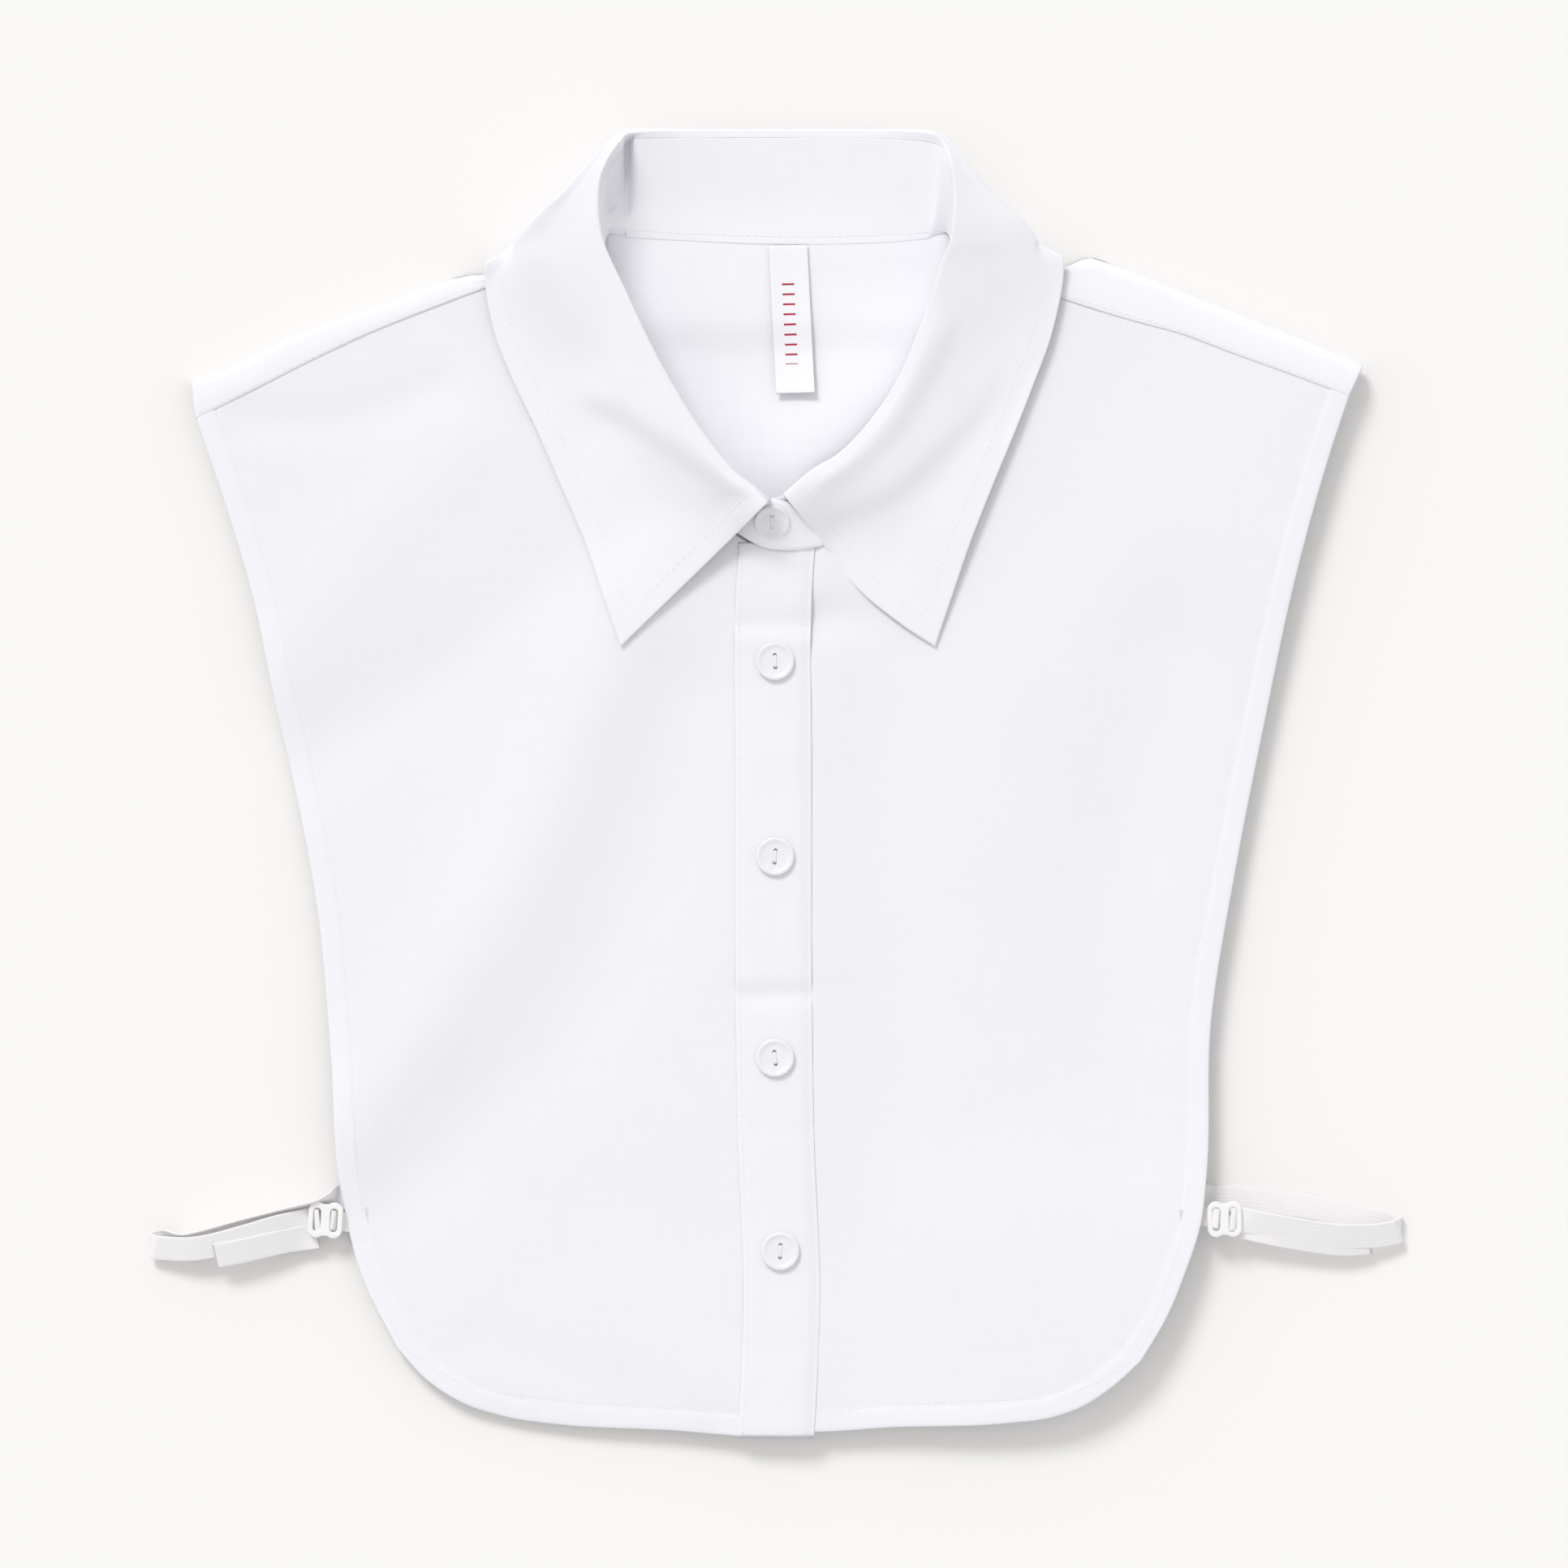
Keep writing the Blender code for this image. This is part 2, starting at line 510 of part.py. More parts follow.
def button_mesh(radius):
    """A turned two-hole button, its foot at z = 0: a rounded rim round a shallow dish."""
    profile = (
        (0, 0.66), (0.5, 0.66), (0.68, 0.8), (0.84, 1.0), (0.96, 0.86), (1.0, 0.5), (0.86, 0.0), (0, 0),
    )
    mesh = bpy.data.meshes.new("button_profile")
    points = [(share * radius * MM, 0, height * BUTTON_HEIGHT * MM) for share, height in profile]
    mesh.from_pydata(points, [(i, i + 1) for i in range(len(points) - 1)], [])
    turned = bpy.data.objects.new("button_profile", mesh)
    CUTTERS.objects.link(turned)
    screw = turned.modifiers.new("turn", "SCREW")
    screw.steps = screw.render_steps = 16
    screw.use_merge_vertices = True
    screw.merge_threshold = 0.00001
    for side in (-1, 1):
        bpy.ops.mesh.primitive_cylinder_add(
            vertices=8, radius=0.8 * MM, depth=4 * BUTTON_HEIGHT * MM, location=(0, side * 1.9 * MM, 0)
        )
        hole = bpy.context.object
        for owner in list(hole.users_collection):
            owner.objects.unlink(hole)
        CUTTERS.objects.link(hole)
        hole.hide_render = True
        hole.display_type = "WIRE"
        cut = turned.modifiers.new("hole", "BOOLEAN")
        cut.operation = "DIFFERENCE"
        cut.object = hole
    bpy.context.view_layer.update()
    evaluated = turned.evaluated_get(bpy.context.evaluated_depsgraph_get())
    made = bpy.data.meshes.new_from_object(evaluated)
    made.materials.clear()
    bpy.data.objects.remove(turned)
    return made


def make_buttons():
    for name, (x, y) in BUTTONS.items():
        placket_top = float(front_height(np.array((x, y)), "left")) + GAP + WALL
        piece = add_object(name, button_mesh(BUTTON_RADIUS), PEARL)
        piece.location = Vector((x, y, placket_top + GAP)) * MM
    foot, top = (Vector(point) for point in STAND["left_0"])
    lean = math.atan2(top.z - foot.z, top.y - foot.y)
    x, y = COLLAR_BUTTON
    on_stand = foot + (top - foot) * ((y - foot.y) / (top.y - foot.y))
    out = Euler((lean, 0, 0)).to_matrix() @ Vector((0, 0, 1))
    piece = add_object("button_collar", button_mesh(0.94 * BUTTON_RADIUS), PEARL)
    piece.rotation_euler = (lean, 0, 0)
    piece.location = (Vector((x, on_stand.y, on_stand.z)) + out * (WALL + GAP)) * MM


ELASTIC = material("white_elastic", (0.86, 0.85, 0.85), 0.8)
PLASTIC = material("white_plastic", (0.88, 0.86, 0.87), 0.3)

# The middle of each elastic's upper face, from the slider out to its fold and back under to the back.
ELASTIC_RIGHT = (
    (139.5, -134.4, 7.6), (146, -135.2, 7.7), (156.3, -137.8, 7.6), (173.8, -140.0, 6.8),
    (185.0, -139.2, 5.4), (190.6, -138.2, 4.5),
)
ELASTIC_RIGHT_BACK = (
    (190.4, -136.8, 1.0), (182.8, -134.8, 1.0), (167.3, -131.4, 1.0), (148, -129.2, 1.0),
    (135.5, -127.9, 1.0), (131.0, -127.5, 2.4), (121.5, -127.0, 2.4),
)
ELASTIC_LEFT = (
    (-138.6, -137.0, 3.1), (-145.5, -137.2, 3.2), (-153, -138.4, 5.2), (-162.5, -140.6, 6.6),
    (-178.0, -143.2, 6.2), (-190.4, -143.0, 4.4),
)
ELASTIC_LEFT_BACK = (
    (-190.2, -140.4, 1.0), (-184.8, -137.6, 1.0), (-173.0, -133.8, 1.0), (-161.5, -130.8, 1.0),
    (-148, -129.4, 1.0), (-137.0, -129.2, 1.0), (-132.8, -129.0, 2.4), (-123.5, -128.8, 2.4),
)
# The end that is turned back through the slider and lies under the tape, offset towards the hem.
TAIL_RIGHT = (
    (141.5, -135.2, 6.2), (156.3, -139.6, 5.9), (173.8, -142.0, 5.0), (184.0, -141.4, 3.6),
)
TAIL_LEFT = (
    (-141.0, -141.2, 1.6), (-146.0, -143.0, 2.1), (-153.0, -145.2, 4.0), (-163.5, -146.8, 5.0),
    (-170.0, -147.4, 4.8),
)
TAB_RIGHT = ((125.0, -132.5, 7.3), (131.5, -132.6, 7.6), (136.8, -133.4, 7.6))
TAB_LEFT = ((-124.5, -137.6, 2.7), (-130.5, -137.4, 2.9), (-136.2, -137.2, 3.1))
TAB_WIDTH = 6.0


def ribbon(name, centre, width, outer_below):
    """A flat tape along a line through the middle of its outer face."""
    run = np.gradient(centre[:, :2], axis=0)
    run[:, 0] = np.where(np.abs(run[:, 0]) < 1.0, np.sign(centre[-1, 0] - centre[0, 0] + 1e-6), run[:, 0])
    lean = -run[:, 1] / run[:, 0]
    across = np.column_stack((lean, np.ones_like(lean), np.zeros_like(lean)))
    across /= np.linalg.norm(across, axis=1)[:, None]
    grid = np.stack([centre - across * width / 2, centre, centre + across * width / 2])
    return sheet(name, grid, ELASTIC, outer_below=outer_below)


def elastic_centre(front, back, sign):
    """The outer face of a tape that runs out, turns down round its fold and comes back under itself."""
    out = curve_through(front, 12)
    home = np.array(back, float)
    home[:, 2] -= WALL
    home = curve_through(home, 13)
    home[:, 2] = np.maximum(home[:, 2], 0)
    start, end = out[-1], home[0]
    radius = (start[2] - end[2]) / 2
    turn = []
    for angle in np.linspace(0, math.pi, 7)[1:-1]:
        share = angle / math.pi
        x = start[0] * (1 - share) + end[0] * share + sign * radius * math.sin(angle)
        y = start[1] * (1 - share) + end[1] * share
        turn.append((x, y, end[2] + radius * (1 + math.cos(angle))))
    return np.concatenate((out, np.array(turn), home))


def slider_mesh(name):
    """A flat plastic ring of two lobes with a slot in each and a bar between them."""
    length, height, thick = SLIDER_SIZE
    lobe = length / 4
    reach = height / 2
    slot = (1.15, 3.6)

    def rounded(middle, half_x, half_y, steps):
        """A slot shape: straight sides with round ends."""
        points = []
        for quarter, end in enumerate((1, 1, -1, -1)):
            for step in range(steps + 1):
                angle = math.pi / 2 * (quarter + step / steps)
                y = end * (half_y - half_x) + half_x * math.sin(angle)
                points.append((middle + half_x * math.cos(angle), y))
        return points

    right = [p for p in rounded(lobe, lobe + 0.12, reach, 4) if p[0] > 0.05]
    right.sort(key=lambda p: math.atan2(p[1], p[0]))
    left = [(-x, -y) for x, y in right]
    outlines = [right + left]
    outlines += [rounded(side * lobe, slot[0], slot[1], 3) for side in (-1, 1)]
    shape = bpy.data.curves.new(name, "CURVE")
    shape.dimensions = "2D"
    shape.fill_mode = "BOTH"
    shape.extrude = thick / 2 * MM
    for outline in outlines:
        spline = shape.splines.new("POLY")
        spline.points.add(len(outline) - 1)
        for point, (x, y) in zip(spline.points, outline):
            point.co = (x * MM, y * MM, 0, 1)
        spline.use_cyclic_u = True
    return shape


def make_sliders_and_elastics():
    for side, sign, front, back, tail, tab in (
        ("left", -1, ELASTIC_LEFT, ELASTIC_LEFT_BACK, TAIL_LEFT, TAB_LEFT),
        ("right", 1, ELASTIC_RIGHT, ELASTIC_RIGHT_BACK, TAIL_RIGHT, TAB_RIGHT),
    ):
        flip = sign < 0
        ribbon(f"strap_{side}", elastic_centre(front, back, sign), ELASTIC_WIDTH, flip)
        ribbon(f"strap_tail_{side}", curve_through(tail, 9), ELASTIC_WIDTH, flip)
        ribbon(f"strap_tab_{side}", curve_through(tab, 5), TAB_WIDTH, flip)
        slider = add_object(f"slider_{side}", slider_mesh(f"slider_{side}"), PLASTIC)
        x, y, z = front[0]
        slider.location = Vector((x, y, z + GAP + SLIDER_SIZE[2] / 2)) * MM


make_back_panel()
make_front_left()
make_front_right()
make_placket()
make_collar_stand()
make_collar_leaf()
make_label()
make_buttons()
make_sliders_and_elastics()
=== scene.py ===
"""A detachable shirt collar laid flat on a table: a sleeveless half shirt of white poplin, buttoned up.

Sizes are millimetres until a mesh is made; X runs across the garment, Y from the hem to the collar, Z up.
"""

import math

import bpy
import numpy as np
from mathutils import Euler, Matrix, Vector


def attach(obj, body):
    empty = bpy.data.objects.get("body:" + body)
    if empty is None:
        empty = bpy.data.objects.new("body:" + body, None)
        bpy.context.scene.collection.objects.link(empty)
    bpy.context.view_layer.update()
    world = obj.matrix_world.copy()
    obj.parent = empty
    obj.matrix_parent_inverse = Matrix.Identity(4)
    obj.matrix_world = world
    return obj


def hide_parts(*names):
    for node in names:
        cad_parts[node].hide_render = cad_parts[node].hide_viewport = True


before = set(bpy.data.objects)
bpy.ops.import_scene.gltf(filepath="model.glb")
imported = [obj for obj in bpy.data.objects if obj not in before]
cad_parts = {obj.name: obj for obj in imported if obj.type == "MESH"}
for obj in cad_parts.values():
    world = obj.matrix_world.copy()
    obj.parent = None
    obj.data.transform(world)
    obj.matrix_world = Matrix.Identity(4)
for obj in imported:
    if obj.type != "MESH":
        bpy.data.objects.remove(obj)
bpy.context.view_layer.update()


# ------------------------------------------------------------------ the two fronts
# Two panels of cotton poplin, cut on the straight grain. Armhole and hem are turned under twice and sewn
# 6.5 mm in from the edge. The left front closes over the right one, so it lies a little higher.

MM = 0.001
SEAM_STEPS = (0, 0.12, 0.4, 1.4)                       # columns of points in from a sewn edge
HEM_STEPS = (0, 0.12, 0.4, 1.6, 3.4, 5.2, 6.0, 6.5, 7.0, 7.8, 9.4, 11.4)
HEM_STITCH = 6.5
HEM_RISE, HEM_GROOVE = 0.22, 0.2                       # the double cloth, and along its sewing
CLOTH_CELL = 2.3
TABLE_GAP = 0.03                                       # no cloth lies lower than this


def ease(t):
    """A soft step: 0 up to t = 0, 1 from t = 1 on."""
    t = np.clip(t, 0, 1)
    return t * t * (3 - 2 * t)


def gone_along(points):
    """How far each point of a line is from its first one, along the line."""
    return np.concatenate(([0.0], np.cumsum(np.linalg.norm(np.diff(points, axis=0), axis=1))))


def places_along(where, gone, line):
    return np.stack([np.interp(where, gone, axis) for axis in line.T], axis=-1)


def unit(vectors):
    return vectors / np.linalg.norm(vectors, axis=-1, keepdims=True)


def with_height(plan, height):
    return np.concatenate((plan, height[..., None]), axis=-1)


def curve_between(given, slopes, knots, where):
    """Smooth curves through the given points, which lie at the knots, read off at each place of where."""
    i = np.clip(np.searchsorted(knots, where, side="right") - 1, 0, len(knots) - 2)
    shape = (-1,) + (1,) * (given.ndim - 1)
    span = (knots[i + 1] - knots[i]).reshape(shape)
    t = (where - knots[i]).reshape(shape) / span
    return (
        (2 * t**3 - 3 * t**2 + 1) * given[i] + (t**3 - 2 * t**2 + t) * span * slopes[i]
        + (3 * t**2 - 2 * t**3) * given[i + 1] + (t**3 - t**2) * span * slopes[i + 1]
    )


def smooth_line(points):
    """A smooth line through the points, as a function from shares of its length to places."""
    points = np.asarray(points, float)
    knots = gone_along(points)
    where = np.linspace(0, knots[-1], 40 * len(points))
    run = curve_between(points, np.gradient(points, knots, axis=0), knots, where)
    gone = gone_along(run)

    def place(share):
        return places_along(np.asarray(share, float) * gone[-1], gone, run)

    place.length = gone[-1]
    return place


def end_to_end(first, second, split):
    """Two lines as one: the first up to the share split, then the second."""
    def place(share):
        share = np.asarray(share, float)[..., None]
        along_first = first(np.clip(share[..., 0] / split, 0, 1))
        along_second = second(np.clip((share[..., 0] - split) / (1 - split), 0, 1))
        return np.where(share < split, along_first, along_second)

    place.length = first.length + second.length
    return place


def steps_between(length, start, end, cell):
    """Distances along a side: close steps at both edges and even ones between them."""
    low, high = start[-1], length - end[-1]
    inner = np.linspace(low, high, max(2, int(round((high - low) / cell)) + 1))[1:-1]
    return np.concatenate((start, inner, [length - d for d in end[::-1]]))


def spanned(bottom, top, left, right, u, v):
    """The area between four edge lines, at shares u across it and v up it."""
    u, v = u[None, :, None], v[:, None, None]
    return (
        (1 - v) * bottom[None] + v * top[None] + (1 - u) * left[:, None] + u * right[:, None]
        - (1 - u) * (1 - v) * bottom[0] - u * (1 - v) * bottom[-1]
        - (1 - u) * v * top[0] - u * v * top[-1]
    )


def panel_plan(bottom, top, left, right, left_steps, right_steps):
    """A flat panel seen from above: rows from the hem up to a seam, columns from left to right.
    left_steps and right_steps are the close steps in from those two sides."""
    tall = (left.length + right.length) / 2
    rows = steps_between(tall, HEM_STEPS, SEAM_STEPS, CLOTH_CELL) / tall
    u = np.linspace(0, 1, 361)
    wide = max(bottom.length, top.length)
    even = steps_between(wide, left_steps, right_steps, CLOTH_CELL)
    near, far = len(left_steps), len(even) - len(right_steps)
    plan = []
    for line in spanned(bottom(u), top(u), left(rows), right(rows), u, rows):
        gone = gone_along(line)
        at = even.copy()
        at[far:] = gone[-1] - (wide - even[far:])
        at[near - 1:far + 1] = np.interp(
            even[near - 1:far + 1], (even[near - 1], even[far]), (left_steps[-1], gone[-1] - right_steps[-1]))
        plan.append(places_along(at, gone, line))
    return np.array(plan)


def smooth_mesh(name, points, faces):
    mesh = bpy.data.meshes.new(name)
    mesh.from_pydata((points * MM).tolist(), [], faces)
    mesh.shade_smooth()
    return mesh


def cloth_mesh(name, outer, wall, grain=None, outer_down=False, left_out=None, folded=None):
    """A cloth piece as one closed mesh: two layers of points that meet in a rounded edge.
    outer is the grid of points on the outer face; grain gives the place on the cut cloth, for the weave.
    left_out marks the cells of the grid that stay open, and folded says where the cloth lies double, and on
    the collar stand and leaf where their colour is painted lighter as painted light."""
    rows, columns = outer.shape[:2]
    normal = np.cross(np.gradient(outer, axis=1), np.gradient(outer, axis=0))
    normal /= np.linalg.norm(normal, axis=-1)[..., None] + 1e-9
    if outer_down:
        normal = -normal
    r, c = np.nonzero(np.ones((rows - 1, columns - 1), bool) if left_out is None else ~left_out)
    corners = [(r, c), (r, c + 1), (r + 1, c + 1), (r + 1, c)]
    used = np.zeros((rows, columns), int)
    for corner in corners:
        used[corner] += 1
    shown, at_edge = used > 0, used < 4
    near = at_edge.copy()
    near[1:] |= at_edge[:-1]
    near[:-1] |= at_edge[1:]
    near[:, 1:] |= at_edge[:, :-1]
    near[:, :-1] |= at_edge[:, 1:]
    thick = np.where(at_edge, 0.0, np.where(near, 0.7, 1.0))
    half = np.broadcast_to(wall, (rows, columns)) / 2
    middle = outer - normal * half[..., None]
    reach = normal * (half * thick)[..., None]
    inner = shown & ~at_edge
    index = np.full((2, rows, columns), -1)
    index[0][shown] = np.arange(shown.sum())
    index[1][shown] = index[0][shown]
    index[1][inner] = shown.sum() + np.arange(inner.sum())
    points = np.concatenate(((middle + reach)[shown], (middle - reach)[inner]))
    points[:, 2] = np.maximum(points[:, 2], TABLE_GAP)
    quads = np.array([[layer[corner] for corner in corners] for layer in index])
    quads[0 if outer_down else 1] = quads[0 if outer_down else 1][::-1]
    mesh = smooth_mesh(name, points, quads.transpose(2, 0, 1).reshape(-1, 4).tolist())
    grain = outer[..., :2] if grain is None else grain
    flat = np.concatenate((grain[shown], grain[inner])) * MM
    loops = np.empty(len(mesh.loops), np.int32)
    mesh.loops.foreach_get("vertex_index", loops)
    mesh.uv_layers.new(name="cut_cloth").data.foreach_set("uv", flat[loops].astype(np.float32).ravel())
    layers = np.zeros((rows, columns)) if folded is None else folded
    double = mesh.attributes.new("folded", "FLOAT", "POINT")
    double.data.foreach_set("value", np.concatenate((layers[shown], layers[inner])).astype(np.float32))
    return mesh


def add_object(name, data):
    made = bpy.data.objects.new(name, data)
    bpy.context.scene.collection.objects.link(made)
    return made


def set_down(name, mesh, finish, node=None):
    """Adds a piece to the garment, in place of the plain solid of that name."""
    piece = add_object(name, mesh)
    piece.data.materials.append(finish)
    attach(piece, "root")
    if node:
        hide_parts(node)
    return piece


def feed(node, inputs):
    """Sets inputs of a shader node, each to a value or to the output that drives it."""
    for slot, value in dict(inputs).items():
        if isinstance(value, bpy.types.NodeSocket):
            node.id_data.links.new(value, node.inputs[slot])
        else:
            node.inputs[slot].default_value = value


def add_node(tree, kind, inputs=(), **settings):
    made = tree.nodes.new("ShaderNode" + kind)
    for setting, value in settings.items():
        setattr(made, setting, value)
    feed(made, inputs)
    return made


def between(tree, factor, first, second):
    """The output of a mix of two colours."""
    mix = add_node(tree, "Mix", data_type="RGBA")
    feed(mix, {"Factor": factor, "A": first, "B": second})
    return mix.outputs["Result"]


def new_finish(name, surface):
    """A material with the given inputs of its shader."""
    made = bpy.data.materials.new(name)
    made.use_nodes = True
    feed(made.node_tree.nodes["Principled BSDF"], surface)
    return made


def roughen(finish, height, distance, strength):
    """Adds fine relief: the output that gives its height, its depth in metres and its strength."""
    bump = add_node(finish.node_tree, "Bump", {"Height": height, "Distance": distance, "Strength": strength})
    feed(finish.node_tree.nodes["Principled BSDF"], {"Normal": bump.outputs["Normal"]})


def two_toned(name, first, second, surface, kind, pattern, on_cloth=False, **settings):
    """A material whose colour wanders between two tones, by a wave or a noise, and that pattern."""
    made = new_finish(name, surface)
    tree = made.node_tree
    place = add_node(tree, "UVMap", uv_map="cut_cloth") if on_cloth else add_node(tree, "TexCoord")
    texture = add_node(tree, kind, pattern, **settings)
    feed(texture, {"Vector": place.outputs["UV" if on_cloth else "Object"]})
    colour = between(tree, texture.outputs["Fac"], (*first, 1), (*second, 1))
    feed(tree.nodes["Principled BSDF"], {"Base Color": colour})
    return made, texture.outputs["Fac"]


THREAD, _ = two_toned("white_thread", (0.80, 0.79, 0.83), (0.87, 0.86, 0.90), {"Roughness": 0.7}, "TexWave",
                      {"Scale": 1400.0}, wave_type="BANDS", bands_direction="DIAGONAL")
STITCH_PITCH, STITCH_LENGTH, STITCH_RADIUS, STITCH_SIDES = 2.4, 1.9, 0.12, 6
BARTACK_PITCH, BARTACK_HALF_WIDTH = 0.26, 0.6
# Along a stitch: the share of its length, its thickness, and how far it lies above the cloth.
STITCH_SHAPE = ((0.0, 0.3, -0.9), (0.14, 0.8, -0.1), (0.5, 1.0, 0.25), (0.86, 0.8, -0.1), (1.0, 0.3, -0.9))


def tube_faces(rings, sides):
    """The faces of a tube with this many rings of points, closed at both ends."""
    steps = [(i, (i + 1) % sides) for i in range(sides)]
    faces = [[low + i, low + j, low + sides + j, low + sides + i]
             for low in range(0, (rings - 1) * sides, sides) for i, j in steps]
    return faces + [list(range(sides))[::-1], [(rings - 1) * sides + i for i in range(sides)]]


def turns_round(sides):
    return np.linspace(0, 2 * math.pi, sides, endpoint=False)


def stitches(name, starts, ends):
    """Small rounded stitches, each from its start to its end, their tips going down into the cloth."""
    along = ends - starts
    side = unit(np.cross(along, (0, 0, 1.0)))
    up = np.cross(side, unit(along))
    rings = []
    for share, swell, lift in STITCH_SHAPE:
        middle = starts + along * share + up * (lift * STITCH_RADIUS)
        for turn in turns_round(STITCH_SIDES):
            rings.append(middle + STITCH_RADIUS * swell * (math.cos(turn) * side + math.sin(turn) * up))
    one, size = tube_faces(len(STITCH_SHAPE), STITCH_SIDES), len(rings)
    faces = [[corner + size * number for corner in face] for number in range(len(starts)) for face in one]
    points = np.stack(rings, axis=1).reshape(-1, 3)
    return set_down(name, smooth_mesh(name, points, faces), THREAD)


def sewn_row(name, route):
    """One row of sewing along a line of places on the cloth."""
    route = np.asarray(route, float)
    gone = gone_along(route)
    starts = np.arange(0.6, gone[-1] - STITCH_LENGTH, STITCH_PITCH)
    return stitches(name, *(places_along(at, gone, route) for at in (starts, starts + STITCH_LENGTH)))


def height_at(face, x, y):
    """The height of the point of a piece that is nearest to a place, seen from above."""
    away = np.hypot(face[..., 0] - x, face[..., 1] - y)
    return face[np.unravel_index(np.argmin(away), away.shape)][2]


def bartack(name, face, x, y, half, heading):
    """A short dense bar of sewing where a strap is fixed: its middle, half its length, and its direction."""
    middle = np.array((x, y, height_at(face, x, y) + 0.1))
    run = np.array((math.cos(heading), math.sin(heading), 0.0))
    across = np.array((-run[1], run[0], 0.0))
    steps = np.arange(-half, half, BARTACK_PITCH)[:, None]
    return stitches(name, middle + run * steps - across * BARTACK_HALF_WIDTH,
                    middle + run * (steps + 0.1) + across * BARTACK_HALF_WIDTH)


# Each armhole runs up from the hem's corner to the shoulder seam.
ARMHOLE_LEFT = smooth_line((
    (-116.8, -173.5), (-127, -153), (-134, -124.8), (-137, -83.5), (-141.5, -36), (-148.8, 1.8),
    (-154.3, 26), (-160.8, 56.8), (-170, 87.8), (-178.8, 113.5),
))
ARMHOLE_RIGHT = smooth_line((
    (112.5, -177.5), (120.5, -164), (126.3, -150), (131, -135.5), (132.8, -121), (134.3, -73.5),
    (141.5, -28.5), (150.3, 16.5), (161, 66.5), (171.5, 103.8), (177, 120.2),
))
SEAM_LEFT = smooth_line((
    (-178.8, 113.5), (-162, 121.8), (-144.3, 130.8), (-126.3, 139.3), (-108.5, 146.5), (-89.8, 153.5),
    (-54.4, 166.6),
))
SEAM_RIGHT = smooth_line((
    (177, 120.2), (160.3, 126.5), (141, 133.5), (125, 139.5), (111.3, 143.2), (88, 150.5), (57, 163.2),
))
HEM_LEFT = smooth_line((
    (-116.8, -173.5), (-108, -183.3), (-95, -191.5), (-83, -195.3), (-67.8, -197.5), (-30, -199.5),
    (-13.8, -200.8), (9, -201.5),
))
HEM_RIGHT = smooth_line((
    (-11.5, -199), (17.3, -199.5), (34, -198.3), (71, -196.8), (84.8, -195), (94, -191.8),
    (103.3, -185.8), (112.5, -177.5),
))
CLOSING_EDGE = smooth_line((
    (12, -201.5), (13, -183.5), (13.8, -158.5), (12, -108.5), (11.3, -58.5), (11.2, 16.5),
    (11, 44.8), (11.5, 61.5), (12.2, 72.2),
))
# Under the placket the left front stops a little short of that edge, and the right front runs on.
FRONT_EDGE = smooth_line(CLOSING_EDGE(np.linspace(0, 1, 60)) - (3.0, 0.0))
HIDDEN_EDGE = smooth_line(((-11.5, -199), (-11.5, -60), (-11.5, 72.4)))
NECKLINE_LEFT = smooth_line((
    (-54.4, 166.6), (-54.2, 160), (-53, 150), (-49.4, 135.5), (-42, 116.4), (-32.6, 99.4),
    (-22.2, 85.8), (-12.4, 76.9), (-5.7, 73.3), (-1, 72.2), (9.2, 72.2),
))
NECKLINE_RIGHT = smooth_line((
    (57, 163.2), (56.1, 153), (53.7, 142), (48.9, 129), (41.6, 114), (31.8, 99.8), (21.5, 87.2),
    (12.4, 77.8), (4, 72.9), (-4, 72.0), (-11.5, 72.4),
))

# The outer face's height where it is known: x, y, height.
HEIGHTS = {
    "left": (
        (-178, 118, 5.2), (-120, 140, 5.4), (-60, 160, 6.2), (-50, 110, 7.2), (-165, 70, 4.8),
        (-150, 5, 4.6), (-138, -100, 4.6), (-112, -178, 4.8), (-60, -195, 6.0), (-70, -60, 7.0),
        (-10, -198, 8.4), (-5, -60, 8.5), (-5, 70, 8.5),
    ),
    "right": (
        (178, 124, 9.4), (120, 145, 8.4), (60, 158, 7.0), (45, 110, 6.6), (168, 80, 9.6),
        (150, 5, 7.6), (136, -90, 8.4), (120, -165, 12.4), (70, -196, 10.6), (65, -60, 7.2),
        (5, -198, 6.2), (0, -60, 6.0), (0, 70, 6.0),
    ),
}
HEIGHT_REACH = 34.0
# Soft folds: x and y of a start, a middle and an end, then half the width, and the height.
FOLDS = {
    "left": {
        "ridge_to_strap": (-44, 56, -84, -36, -131, -106, 17, 2.4),
        "trough_under_ridge": (-26, 26, -58, -66, -118, -128, 17, -1.3),
        "trough_from_collar": (-72, 62, -108, 32, -146, 8, 15, -1.4),
        "ridge_over_armhole": (-96, 104, -128, 72, -158, 32, 16, 1.3),
        "shoulder_pucker": (-162, 112, -134, 112, -104, 122, 7, -0.8),
        "hem_dip": (-92, -172, -70, -180, -40, -186, 8, -0.6),
        "hem_fall": (-84, -200, -50, -203, -22, -204, 12, -1.6),
        "chest_dip": (-7, 50.5, 0, 50, 7, 49.5, 5, -0.5),
        "waist_dip": (-7, -65.5, 0, -65, 7, -64.5, 5, -0.5),
    },
    "right": {
        "side_trough": (118, 40, 106, -30, 108, -110, 18, -1.3),
        "chest_swell": (62, 30, 58, -20, 60, -80, 24, 0.9),
    },
}


def peak(away, width):
    """A soft peak: 1 where away is 0, and gone a few widths from there."""
    return np.exp(-((away / width) ** 2))


def distance_to(plan, line, count=420):
    """How far each point is from a line, seen from above."""
    nearest = np.full(plan.shape[:-1], 1e9)
    for x, y in line(np.linspace(0, 1, count)):
        nearest = np.minimum(nearest, (plan[..., 0] - x) ** 2 + (plan[..., 1] - y) ** 2)
    return np.sqrt(nearest)


